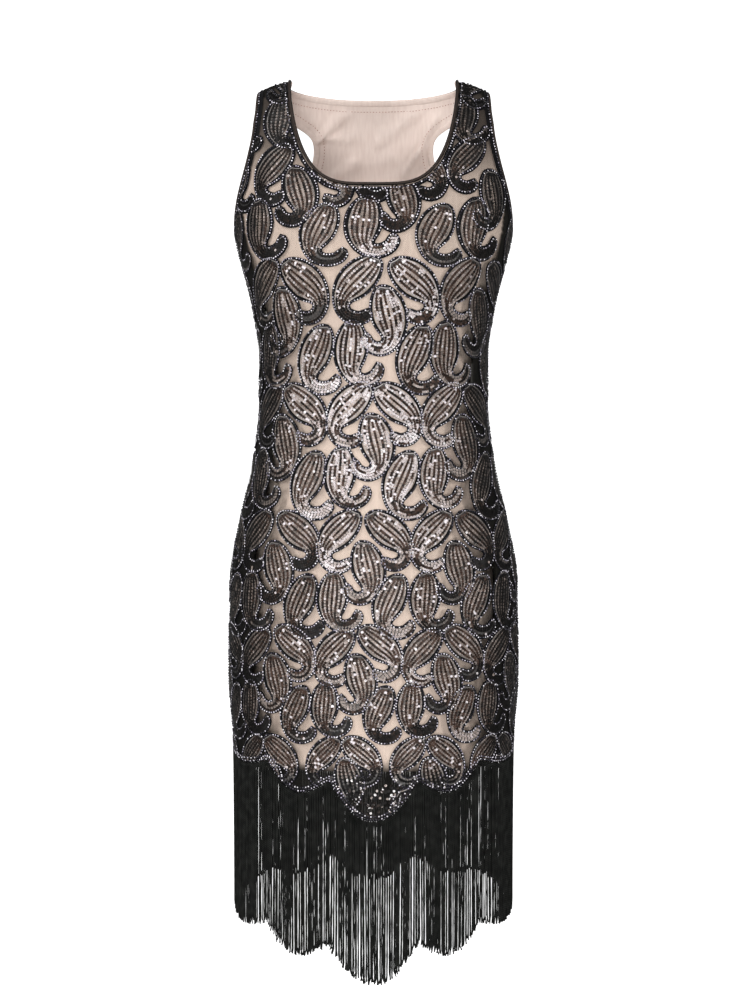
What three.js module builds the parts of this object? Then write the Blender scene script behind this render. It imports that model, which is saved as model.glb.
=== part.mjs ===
// A sleeveless shift dress: beaded sequin net over a nude lining, with a scoop neck, a racer back, a
// scalloped hem and a long fringe. It keeps the rounded, hollow form that it has when it is filled out.
//
// Millimetres. +Z is up, the front faces -Y, and +X is the wearer's left. The origin lies midway between
// the two shoulder seams, where the wearer's shoulders hold the dress up.
//
// Every cloth piece lies on one form: level sections, each half an oval for the front and half for the
// back. A place on the form is a turn (0 on the centre line, a right angle at the side seam) and a height.

import * as THREE from 'three';

// Cloth and trim
const SHELL_THICKNESS = 2; // net with its sequins and beads
const LINING_THICKNESS = 1.2;
const LAYER_GAP = 0.8; // between the shell and the lining
const SEAM_GAP = 0.3; // between pieces that meet at a seam
const BINDING_WIDTH = 3;
const BINDING_GAP = 0.7; // between a panel's edge and the strip that wraps it
const BINDING_STAND = 0.4; // the binding stands this far out of the shell
const FRINGE_THICKNESS = 2;
const FRINGE_DROP = 176; // 7 in fringe, less the heading behind the hem

// The form's level sections, from the fringe's end to the neck point. half is half the width at the side
// seams; front and back are the depths on the centre line.
const SECTION_POWER = 2.3; // 2 is an ellipse, more is squarer
const SECTIONS = [
  { height: -985, half: 154, front: 112, back: 114 },
  { height: -800, half: 155, front: 113, back: 115 },
  { height: -724, half: 156, front: 114, back: 118 },
  { height: -649, half: 161, front: 115, back: 125 },
  { height: -549, half: 160, front: 112, back: 125 },
  { height: -483, half: 149.5, front: 107, back: 114 },
  { height: -416, half: 134.5, front: 98, back: 98 },
  { height: -349, half: 127.5, front: 93, back: 86 },
  { height: -300, half: 127.5, front: 99, back: 85 },
  { height: -249, half: 134.5, front: 113, back: 90 },
  { height: -210, half: 144, front: 120, back: 95 },
  { height: -170, half: 153.5, front: 114, back: 98 },
  { height: -120, half: 157.5, front: 100, back: 99 },
  { height: -84, half: 157, front: 86, back: 95 },
  { height: -50, half: 153, front: 70, back: 88 },
  { height: -26, half: 143, front: 54, back: 80 },
  { height: -6, half: 126, front: 35, back: 72 },
  { height: 1, half: 116, front: 26, back: 69 },
  { height: 7, half: 94, front: 17, back: 66 },
];

// Edges of the panels, inside their bindings
const NECK_POINT = 7; // height of the shoulder seam's end at the neck
const SHOULDER_TIP = -6; // height of its other end
const UNDERARM = -170;
const NECK_FRONT = { half: 94, depth: 126.5, sidePower: 3.8, dropPower: 1.75 };
const NECK_BACK = { depth: 15, power: 2 };
const ARMHOLE_FRONT = { depth: 49, power: 1.3 }; // how far it is scooped forward of the side seam
const RACER_EDGE = [ // back armhole, from the underarm to the shoulder tip, by distance from the centre
  { across: 153.5, height: -170 },
  { across: 124, height: -150 },
  { across: 93, height: -120 },
  { across: 72, height: -88 },
  { across: 65.5, height: -62 },
  { across: 71, height: -43.5 },
  { across: 95, height: -28 },
  { across: 116, height: -14 },
  { across: 126, height: -6 },
];

// Scallops of the hem. from and to are shares of the way round from the centre line to the side seam;
// start and end are the heights of the points between scallops, and dip is how far the scallop hangs below.
const HEM = {
  front: [
    { from: -1 / 6, to: 1 / 6, start: -760, end: -760, dip: 43 },
    { from: 1 / 6, to: 1 / 2, start: -760, end: -740, dip: 22 },
    { from: 1 / 2, to: 1, start: -740, end: -724, dip: 11 },
  ],
  back: [
    { from: -1 / 6, to: 1 / 6, start: -691, end: -691, dip: 29 },
    { from: 1 / 6, to: 1 / 2, start: -691, end: -702, dip: 15 },
    { from: 1 / 2, to: 1, start: -702, end: -724, dip: 8 },
  ],
};
const HEM_BLEND_TOP = { front: -670, back: -630 }; // above this the courses are level
const LINING_TAKE_IN = [ // the lining is cut narrower than the shell by this much at each side seam
  { height: -750, take: 26 },
  { height: -549, take: 25 },
  { height: -400, take: 19 },
  { height: -300, take: 16 },
  { height: -216, take: 9 },
  { height: -170, take: 0 },
  { height: 7, take: 0 },
];

// The net of courses and columns that every panel is laid out on
const COLUMNS = [0, 1 / 18, 1 / 9, 1 / 6, 5 / 18, 7 / 18, 1 / 2, 2 / 3, 5 / 6, 1];
const HEM_COURSES = [0, 0.3, 0.65, 1];
const LINING_COURSES = [-750, -724, -695, -660, -630]; // the first is the lining's straight hem
const WAIST = -349; // each lining panel is a skirt and a bodice, which meet here with a seam gap
const LEVEL_COURSES = [-590, -549, -500, -450, -400, -349, -310, -275, -243, -210];
const FRONT_YOKE = [ // from the underarm up: centre height or neck angle, and armhole angle, in degrees
  { centre: -172, armhole: 180 },
  { centre: -156, armhole: 168 },
  { centre: -139, armhole: 156 },
  { neck: 0, armhole: 143 },
  { neck: 14, armhole: 130 },
  { neck: 28, armhole: 116 },
  { neck: 42, armhole: 101 },
  { neck: 55, armhole: 85 },
  { neck: 67, armhole: 68 },
  { neck: 77, armhole: 49 },
  { neck: 84, armhole: 27 },
  { neck: 90, armhole: 0 },
];
const BACK_YOKE = [ // the same, with the place along the racer edge as a share of its points
  { centre: -168, racer: 0 },
  { centre: -150, racer: 0.08 },
  { centre: -126, racer: 0.17 },
  { centre: -100, racer: 0.27 },
  { centre: -72, racer: 0.37 },
  { centre: -40, racer: 0.45 },
  { neck: 0, racer: 0.5 },
  { neck: 18, racer: 0.55 },
  { neck: 36, racer: 0.62 },
  { neck: 51, racer: 0.69 },
  { neck: 63, racer: 0.77 },
  { neck: 73, racer: 0.85 },
  { neck: 82, racer: 0.93 },
  { neck: 90, racer: 1 },
];
const FRINGE_COURSES = [0, 0.35, 0.7, 1];

const COLOURS = {
  net: { color: 0x2b2826, roughness: 0.35, metalness: 0.3 },
  lining: { color: 0xdcc5b4, roughness: 0.75, metalness: 0 },
  binding: { color: 0x171617, roughness: 0.5, metalness: 0.1 },
  fringe: { color: 0x121312, roughness: 0.55, metalness: 0 },
};

const RIGHT_ANGLE = Math.PI / 2;
const FACING = { front: -1, back: 1 };
const SIDES = { left: 1, right: -1 };

const radians = THREE.MathUtils.degToRad;
const lerp = THREE.MathUtils.lerp;
const signedPower = (base, power) => Math.sign(base) * Math.abs(base) ** power;

/** A smooth curve through one column of a table, that never overshoots between two rows. */
class Profile {
  constructor(rows, column) {
    this.rows = [...rows].sort((a, b) => a.height - b.height);
    this.column = column;
    const steps = this.rows.slice(1).map((row, i) => this.secant(this.rows[i], row));
    this.slopes = this.rows.map((row, i) => {
      if (i === 0) return steps[0];
      if (i === steps.length) return steps[i - 1];
      if (steps[i - 1] * steps[i] <= 0) return 0;
      return (2 * steps[i - 1] * steps[i]) / (steps[i - 1] + steps[i]);
    });
  }

  secant(low, high) {
    return (high[this.column] - low[this.column]) / (high.height - low.height);
  }

  /** Value and slope at a height; past the table's ends both stay as they are there. */
  at(height) {
    const last = this.rows.length - 2;
    const above = this.rows.findIndex((row) => row.height > height);
    const i = above < 0 ? last : Math.min(last, Math.max(0, above - 1));
    const [low, high] = [this.rows[i], this.rows[i + 1]];
    const span = high.height - low.height;
    const t = THREE.MathUtils.clamp((height - low.height) / span, 0, 1);
    const [v0, v1] = [low[this.column], high[this.column]];
    const [m0, m1] = [this.slopes[i] * span, this.slopes[i + 1] * span];
    const value = (2 * t ** 3 - 3 * t ** 2 + 1) * v0 + (t ** 3 - 2 * t ** 2 + t) * m0
      + (3 * t ** 2 - 2 * t ** 3) * v1 + (t ** 3 - t ** 2) * m1;
    const slope = ((6 * t ** 2 - 6 * t) * (v0 - v1) + (3 * t ** 2 - 4 * t + 1) * m0
      + (3 * t ** 2 - 2 * t) * m1) / span;
    return { value, slope };
  }
}

const HALF = new Profile(SECTIONS, 'half');
const DEPTH = { front: new Profile(SECTIONS, 'front'), back: new Profile(SECTIONS, 'back') };
const TAKE_IN = new Profile(LINING_TAKE_IN, 'take');

/** Point on the form, and the outward normal there. Each face keeps half a seam gap from the side plane. */
function formAt(face, turn, height) {
  const half = HALF.at(height);
  const depth = DEPTH[face].at(height);
  const power = 2 / SECTION_POWER;
  const [sine, cosine] = [Math.sin(turn), Math.max(0, Math.cos(turn))];
  const point = new THREE.Vector3(
    half.value * signedPower(sine, power),
    FACING[face] * (depth.value * cosine ** power + SEAM_GAP / 2),
    height,
  );
  const normal = new THREE.Vector3(
    signedPower(sine, 2 - power) / half.value,
    (FACING[face] * cosine ** (2 - power)) / depth.value,
    -(sine ** 2 * half.slope) / half.value - (cosine ** 2 * depth.slope) / depth.value,
  );
  return { point, normal: normal.normalize() };
}

/** Turn of the place at a height that lies this far from the centre line, seen from the front. */
function turnAcross(across, height) {
  return Math.asin(Math.min(1, across / HALF.at(height).value) ** (SECTION_POWER / 2));
}

/** Turn of the place at a height that lies this far from the side plane. */
function turnDeep(face, deep, height) {
  return Math.acos(Math.min(1, deep / DEPTH[face].at(height).value) ** (SECTION_POWER / 2));
}

/** A place on the scoop neck: angle 0 is its lowest point, and a right angle is the neck point. */
function frontNeck(angle) {
  const { half, depth, sidePower, dropPower } = NECK_FRONT;
  const height = NECK_POINT - depth * Math.max(0, Math.cos(angle)) ** (2 / dropPower);
  const across = half * Math.sin(angle) ** (2 / sidePower);
  return { turn: turnAcross(across, height), height };
}

/** A place on the high back neck, from the centre to the neck point. */
function backNeck(angle) {
  return { turn: angle, height: NECK_POINT - NECK_BACK.depth * (1 - Math.sin(angle) ** NECK_BACK.power) };
}

/** A place on the front armhole: angle 0 is the shoulder tip, and two right angles are the underarm. */
function frontArmhole(angle) {
  const height = (SHOULDER_TIP + UNDERARM) / 2 + ((SHOULDER_TIP - UNDERARM) / 2) * Math.cos(angle);
  const deep = ARMHOLE_FRONT.depth * Math.max(0, Math.sin(angle)) ** ARMHOLE_FRONT.power;
  return { turn: turnDeep('front', deep, height), height };
}

const RACER_CURVE = new THREE.SplineCurve(RACER_EDGE.map((p) => new THREE.Vector2(p.across, p.height)));

/** A place on the racer edge of the back, from the underarm (share 0) to the shoulder tip (share 1). */
function racerEdge(share) {
  if (share === 0) return { turn: RIGHT_ANGLE, height: UNDERARM };
  if (share === 1) return { turn: RIGHT_ANGLE, height: SHOULDER_TIP };
  const place = RACER_CURVE.getPoint(share);
  return { turn: turnAcross(place.x, place.y), height: place.y };
}

/** Height of the scalloped hem at a share of the way from the centre line to the side seam. */
function hemHeight(face, share) {
  const scallop = HEM[face].find((s) => share <= s.to) ?? HEM[face].at(-1);
  const t = (share - scallop.from) / (scallop.to - scallop.from);
  return lerp(scallop.start, scallop.end, t) - scallop.dip * Math.sin(Math.PI * t);
}

/** A course is one row of a panel: the places where it starts and ends, and its place at each share. */
function course(inner, outer, split = false) {
  const place = (share) => ({
    turn: lerp(inner.turn, outer.turn, share),
    height: lerp(inner.height, outer.height, share),
  });
  return { place, split, inner, outer };
}

/** Courses of the yoke, from the underarm to the shoulder seam. Those on the neck edge are split in two. */
function yokeCourses(face) {
  const table = face === 'front' ? FRONT_YOKE : BACK_YOKE;
  const neck = face === 'front' ? frontNeck : backNeck;
  return table.map((row) => {
    const outer = face === 'front' ? frontArmhole(radians(row.armhole)) : racerEdge(row.racer);
    const inner = row.neck === undefined ? { turn: 0, height: row.centre } : neck(radians(row.neck));
    return course(inner, outer, row.neck > 0);
  });
}

/** Level courses of the body, between the hem and the underarm. */
function bodyCourses(heights) {
  return heights.map((height) => course({ turn: 0, height }, { turn: RIGHT_ANGLE, height }));
}

/** Courses that run from the scalloped hem at blend 0 to a level line at blend 1. */
function hemCourses(face) {
  return HEM_COURSES.map((blend) => ({
    split: false,
    place: (share) => ({
      turn: share * RIGHT_ANGLE,
      height: lerp(hemHeight(face, share), HEM_BLEND_TOP[face], blend),
    }),
  }));
}

/**
 * A closed wall over a panel's courses. skin(place, side) gives the outer and the inner point. The two halves
 * share the centre line, except on split courses, which lie beside the neck.
 */
function wallGeometry(courses, skin) {
  const outer = [];
  const inner = [];
  const index = new Map();
  const vertex = (side, row, column) => {
    const joined = column === 0 && !courses[row].split;
    const key = `${joined ? 0 : side} ${row} ${column}`;
    if (!index.has(key)) {
      const points = skin(courses[row].place(COLUMNS[column]), side);
      index.set(key, outer.length);
      outer.push(points.outer);
      inner.push(points.inner);
    }
    return index.get(key);
  };

  const faces = [];
  for (const side of Object.values(SIDES)) {
    for (let row = 0; row < courses.length - 1; row += 1) {
      for (let column = 0; column < COLUMNS.length - 1; column += 1) {
        const loop = [
          vertex(side, row, column),
          vertex(side, row, column + 1),
          vertex(side, row + 1, column + 1),
          vertex(side, row + 1, column),
        ];
        faces.push(side > 0 ? loop : [loop[0], loop[3], loop[2], loop[1]]);
      }
    }
  }

  const edges = new Set();
  for (const [a, b, c, d] of faces) [[a, b], [b, c], [c, d], [d, a]].forEach((e) => edges.add(e.join(' ')));
  const shift = outer.length;
  const triangles = [];
  const quad = (a, b, c, d) => triangles.push(a, b, c, a, c, d);
  for (const [a, b, c, d] of faces) {
    quad(a, b, c, d);
    quad(shift + a, shift + d, shift + c, shift + b);
    for (const [p, q] of [[a, b], [b, c], [c, d], [d, a]]) {
      if (!edges.has(`${q} ${p}`)) quad(q, p, shift + p, shift + q);
    }
  }
  return closedGeometry([...outer, ...inner], triangles);
}

/** Geometry from points and triangle corners, turned so that its faces point outwards. */
function closedGeometry(points, triangles) {
  let volume = 0;
  for (let i = 0; i < triangles.length; i += 3) {
    const [a, b, c] = triangles.slice(i, i + 3).map((corner) => points[corner]);
    volume += a.dot(new THREE.Vector3().crossVectors(b, c));
  }
  const geometry = new THREE.BufferGeometry();
  geometry.setAttribute('position', new THREE.Float32BufferAttribute(points.flatMap((p) => p.toArray()), 3));
  geometry.setIndex(volume > 0 ? triangles : [...triangles].reverse());
  geometry.computeVertexNormals();
  return geometry;
}

/** A skin function for wallGeometry: a layer of cloth whose outer face lies this far inside the form. */
function layer(face, inset, thickness, takeIn = false) {
  return ({ turn, height }, side) => {
    const { point, normal } = formAt(face, side * turn, height);
    const narrow = takeIn ? 1 - TAKE_IN.at(height).value / HALF.at(height).value : 1;
    const at = (depth) => point.clone().addScaledVector(normal, -depth).multiply(new THREE.Vector3(narrow, 1, 1));
    return { outer: at(inset), inner: at(inset + thickness) };
  };
}

function shellGeometry(face) {
  const courses = [...hemCourses(face), ...bodyCourses(LEVEL_COURSES), ...yokeCourses(face)];
  return wallGeometry(courses, layer(face, 0, SHELL_THICKNESS));
}

/** One part of a lining panel: the skirt up to the waist, or the bodice above it. */
function liningGeometry(face, part) {
  const levels = [...LINING_COURSES, ...LEVEL_COURSES];
  const courses = part === 'skirt'
    ? bodyCourses(levels.filter((height) => height <= WAIST))
    : [...bodyCourses([WAIST + SEAM_GAP, ...levels.filter((height) => height > WAIST)]), ...yokeCourses(face)];
  return wallGeometry(courses, layer(face, SHELL_THICKNESS + LAYER_GAP, LINING_THICKNESS, true));
}

/** The fringe's reach: a thin wall that hangs straight from the hem and ends in the same scallops. */
function fringeGeometry(face) {
  const courses = FRINGE_COURSES.map((drop) => ({
    split: false,
    place: (share) => ({
      turn: share * RIGHT_ANGLE,
      height: hemHeight(face, share) - SEAM_GAP - drop * FRINGE_DROP,
    }),
  }));
  return wallGeometry(courses, layer(face, 0, FRINGE_THICKNESS));
}

/** A closed strip that wraps the edges of the shell and the lining, round an opening about a middle point. */
function bindingGeometry(places, middle) {
  const stations = places.map(({ face, turn, height }) => formAt(face, turn, height));
  const depth = SHELL_THICKNESS + LAYER_GAP + LINING_THICKNESS;
  const points = [];
  stations.forEach(({ point, normal }, i) => {
    const next = stations[(i + 1) % stations.length].point;
    const last = stations[(i + stations.length - 1) % stations.length].point;
    const along = next.clone().sub(last).normalize();
    const away = along.clone().cross(normal).normalize();
    if (away.dot(middle.clone().sub(point)) < 0) away.negate();
    const corner = (out, up) => point.clone().addScaledVector(away, out).addScaledVector(normal, up);
    points.push(
      corner(BINDING_GAP, BINDING_STAND),
      corner(BINDING_GAP + BINDING_WIDTH, BINDING_STAND),
      corner(BINDING_GAP + BINDING_WIDTH, -depth),
      corner(BINDING_GAP, -depth),
    );
  });
  const triangles = [];
  for (let i = 0; i < stations.length; i += 1) {
    const here = 4 * i;
    const there = 4 * ((i + 1) % stations.length);
    for (let k = 0; k < 4; k += 1) {
      const l = (k + 1) % 4;
      triangles.push(here + k, here + l, there + l, here + k, there + l, there + k);
    }
  }
  return closedGeometry(points, triangles);
}

/** Edge places of the yoke's courses, at their inner or outer end, from the underarm or centre upwards. */
function edgePlaces(face, end, side) {
  const rows = yokeCourses(face).filter((row) => end === 'outer' || row.inner.turn > 0);
  return rows.map((row) => ({ face, turn: side * row[end].turn, height: row[end].height }));
}

function neckBinding() {
  const lowest = { face: 'front', ...frontNeck(0) };
  const highest = { face: 'back', ...backNeck(0) };
  const frontLeft = edgePlaces('front', 'inner', SIDES.left);
  const backLeft = edgePlaces('back', 'inner', SIDES.left).slice(0, -1).reverse();
  const backRight = edgePlaces('back', 'inner', SIDES.right);
  const frontRight = edgePlaces('front', 'inner', SIDES.right).slice(0, -1).reverse();
  const middle = new THREE.Vector3(0, 0, NECK_POINT);
  return bindingGeometry([lowest, ...frontLeft, ...backLeft, highest, ...backRight, ...frontRight], middle);
}

function armholeBinding(side) {
  const front = edgePlaces('front', 'outer', side);
  const back = edgePlaces('back', 'outer', side).slice(1, -1).reverse();
  const middle = new THREE.Vector3(side * HALF.at(UNDERARM).value, 0, (SHOULDER_TIP + UNDERARM) / 2);
  return bindingGeometry([...front, ...back], middle);
}

const dress = new THREE.Group();

function add(name, geometry, finish) {
  const mesh = new THREE.Mesh(geometry, new THREE.MeshStandardMaterial(COLOURS[finish]));
  mesh.name = name;
  dress.add(mesh);
}

for (const face of Object.keys(FACING)) {
  add(`shell_${face}`, shellGeometry(face), 'net');
  add(`lining_skirt_${face}`, liningGeometry(face, 'skirt'), 'lining');
  add(`lining_bodice_${face}`, liningGeometry(face, 'bodice'), 'lining');
  add(`fringe_${face}`, fringeGeometry(face), 'fringe');
}
add('neck_binding', neckBinding(), 'binding');
for (const [name, side] of Object.entries(SIDES)) {
  add(`armhole_binding_${name}`, armholeBinding(side), 'binding');
}

export default dress;
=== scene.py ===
"""Sequin fringe dress: beaded net over a nude lining, with bound edges and a deep fringe.

Every cloth piece lies on one form of level oval sections. A place on the form is an arc, the distance
round from the centre line (positive towards +X), and a height. Metres, +Z up, and the front faces -Y.
"""

import logging
import math
from dataclasses import dataclass, field
from enum import Enum

import bmesh
import bpy
import numpy as np
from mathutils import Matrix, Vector


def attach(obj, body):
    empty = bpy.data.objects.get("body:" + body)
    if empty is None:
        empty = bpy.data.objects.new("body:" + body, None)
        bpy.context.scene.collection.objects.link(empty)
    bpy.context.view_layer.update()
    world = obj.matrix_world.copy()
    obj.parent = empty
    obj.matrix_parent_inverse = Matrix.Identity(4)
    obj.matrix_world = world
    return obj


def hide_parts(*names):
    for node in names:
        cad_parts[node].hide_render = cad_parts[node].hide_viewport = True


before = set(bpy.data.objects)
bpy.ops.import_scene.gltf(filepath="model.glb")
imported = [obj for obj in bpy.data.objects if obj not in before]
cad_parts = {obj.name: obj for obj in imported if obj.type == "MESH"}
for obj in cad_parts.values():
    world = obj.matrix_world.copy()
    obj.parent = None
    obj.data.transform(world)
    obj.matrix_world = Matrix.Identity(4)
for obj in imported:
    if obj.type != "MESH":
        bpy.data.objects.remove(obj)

LOG = logging.getLogger("sequin_fringe_dress")
MM = 0.001
RIGHT_ANGLE = math.pi / 2
FULL_TURN = 2 * math.pi
FORM_SPAN = (-980 * MM, 7 * MM)
ROOT = "root"
CUT = "cut"
SHADE = "shade"
SPOT = "spot"
Piece = bpy.types.Object
BMesh = bmesh.types.BMesh
Socket = bpy.types.NodeSocket
Array = np.ndarray
Places = tuple[Array, Array]
Triple = tuple[float, float, float]


class Face(Enum):
    """The two halves of the dress."""

    FRONT = "front"
    BACK = "back"

    @property
    def facing(self) -> int:
        """Sign of Y on this half."""
        return -1 if self is Face.FRONT else 1


class Slot(Enum):
    """Material slots of the record."""

    BEADED_NET = "beaded_net"
    NUDE_LINING = "nude_lining"
    BINDING = "binding"
    FRINGE = "fringe"


class MotifKind(Enum):
    """The five paisleys of the repeat: lean in degrees, side of the curl, breadth, and reach of the hook."""

    LEANS_OUT = (34.0, -1, 0.94, 1.0)
    LEANS_IN = (-28.0, 1, 0.9, 1.1)
    INFILL = (-3.0, -1, 1.0, 1.0)
    UPRIGHT = (-7.0, 1, 0.94, 1.2)
    UPRIGHT_HOOKED = (12.0, 1, 0.97, 1.15)

    @property
    def lean(self) -> float:
        """Lean in radians, anticlockwise."""
        return math.radians(self.value[0])

    @property
    def curl(self) -> int:
        """Side that the hook curls to."""
        return self.value[1]


def signed_power(base: Array, power: float) -> Array:
    """Power that keeps the sign of its base."""
    return np.sign(base) * np.abs(base) ** power


def unit(vectors: Array) -> Array:
    """Vectors scaled to length one."""
    return vectors / np.maximum(np.linalg.norm(vectors, axis=-1, keepdims=True), 1e-12)


def bend(rows: list[Array], t: Array) -> Array:
    """A smooth cubic between two points.

    Args:
        rows: The point before them, the two points, and the point after them.
        t: Shares of the way from the first of the two to the second.

    Returns:
        The curve's points.
    """
    a, b, c, d = rows
    line = 2 * b + (c - a) * t + (2 * a - 5 * b + 4 * c - d) * t**2
    return (line + (3 * b - a - 3 * c + d) * t**3) / 2


def spline(points: Array, steps: int, closed: bool = False) -> Array:
    """A smooth curve through points.

    Args:
        points: The points to pass through, one row each.
        steps: Points made for each span.
        closed: Whether the curve returns to its start.

    Returns:
        The curve's points, one row each.
    """
    if closed:
        padded = np.vstack([points[-1:], points, points[:2]])
    else:
        padded = np.vstack([2 * points[0] - points[1], points, 2 * points[-1] - points[-2]])
    t = (np.arange(steps) / steps)[:, None]
    parts = [bend(padded[i : i + 4], t) for i in range(len(padded) - 3)]
    if not closed:
        parts.append(points[-1:])
    return np.vstack(parts)


def along(points: Array, count: int, start: float = 0.0, end: float = 1.0) -> Array:
    """Points at even distances along a polyline, between two shares of its length.

    Args:
        points: The polyline, one row a point.
        count: How many points are wanted.
        start: Share of the length where they start.
        end: Share where they end.

    Returns:
        The points, one row each.
    """
    lengths = np.concatenate([[0.0], np.cumsum(np.linalg.norm(np.diff(points, axis=0), axis=1))])
    wanted = np.linspace(start, end, count) * lengths[-1]
    return np.stack([np.interp(wanted, lengths, column) for column in points.T], axis=1)


def length_of(points: Array) -> float:
    """Length of a polyline."""
    return float(np.linalg.norm(np.diff(points, axis=0), axis=1).sum())


def grown(value: Array, start: float, reach: float) -> Array:
    """Share from 0 to 1 that grows from a start over a reach; a negative reach goes downwards."""
    return np.clip((value - start) / reach, 0, 1)


class SmoothProfile:
    """A smooth curve through a table of values by height, that never overshoots between two rows."""

    def __init__(self, heights: tuple[float, ...], values: tuple[float, ...]) -> None:
        """Take the table in millimetres, in rising order of height.

        Args:
            heights: Heights.
            values: The value at each height.
        """
        self.heights = np.array(heights, float) * MM
        self.values = np.array(values, float) * MM
        steps = np.diff(self.values) / np.diff(self.heights)
        product = steps[:-1] * steps[1:]
        total = np.where(product > 0, steps[:-1] + steps[1:], 1.0)
        inner = np.where(product > 0, 2 * product / total, 0.0)
        self.slopes = np.concatenate([steps[:1], inner, steps[-1:]])

    def _span(self, height: Array) -> tuple[Array, ...]:
        """The rows on both sides of each height.

        Args:
            height: Heights.

        Returns:
            The share of the way between the two rows, the height between them, and their values and rises.
        """
        i = np.clip(np.searchsorted(self.heights, height, side="right") - 1, 0, len(self.heights) - 2)
        span = self.heights[i + 1] - self.heights[i]
        t = np.clip((height - self.heights[i]) / span, 0, 1)
        return t, span, self.values[i], self.values[i + 1], self.slopes[i] * span, self.slopes[i + 1] * span

    def value(self, height: Array) -> Array:
        """Value at each height; past the table's ends it stays as it is there.

        Args:
            height: Heights.

        Returns:
            The values.
        """
        t, _, v0, v1, m0, m1 = self._span(np.asarray(height, float))
        rise = (3 - 2 * t) * t**2
        return v0 + rise * (v1 - v0) + (t**3 - 2 * t**2 + t) * m0 + (t**3 - t**2) * m1

    def slope(self, height: Array) -> Array:
        """Rate of change at each height.

        Args:
            height: Heights.

        Returns:
            The rates.
        """
        t, span, v0, v1, m0, m1 = self._span(np.asarray(height, float))
        bend = (6 * t**2 - 6 * t) * (v0 - v1)
        return (bend + (3 * t**2 - 4 * t + 1) * m0 + (3 * t**2 - 2 * t) * m1) / span


@dataclass(frozen=True)
class Crease:
    """One soft fold of cloth, from one place to another on a face, in millimetres of arc and height."""

    start: tuple[float, float]
    end: tuple[float, float]
    depth: float
    width: float
    phase: float = 0.0

    def rise(self, arc: Array, height: Array) -> Array:
        """How far the fold lifts the cloth outwards; a trough has a negative depth.

        Args:
            arc: Arcs on the face.
            height: Heights.

        Returns:
            The lift at each place.
        """
        start = np.array(self.start) * MM
        line = np.array(self.end) * MM - start
        size = float(np.hypot(*line))
        heading = line / size
        from_start = np.stack([arc, height], axis=-1) - start
        run = from_start @ heading / size
        wander = 0.35 * self.width * MM * np.sin(5.0 * run + self.phase)
        off = from_start @ np.array([-heading[1], heading[0]]) - wander
        spread = self.width * MM * (0.75 + 0.45 * np.clip(run, 0, 1))
        ends = np.clip(np.minimum(run, 1 - run) * 4 + 0.35, 0, 1)
        uneven = 0.82 + 0.18 * np.sin(9.0 * run + 2.3 * self.phase)
        return self.depth * MM * np.exp(-((off / spread) ** 2)) * (3 - 2 * ends) * ends**2 * uneven


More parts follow.
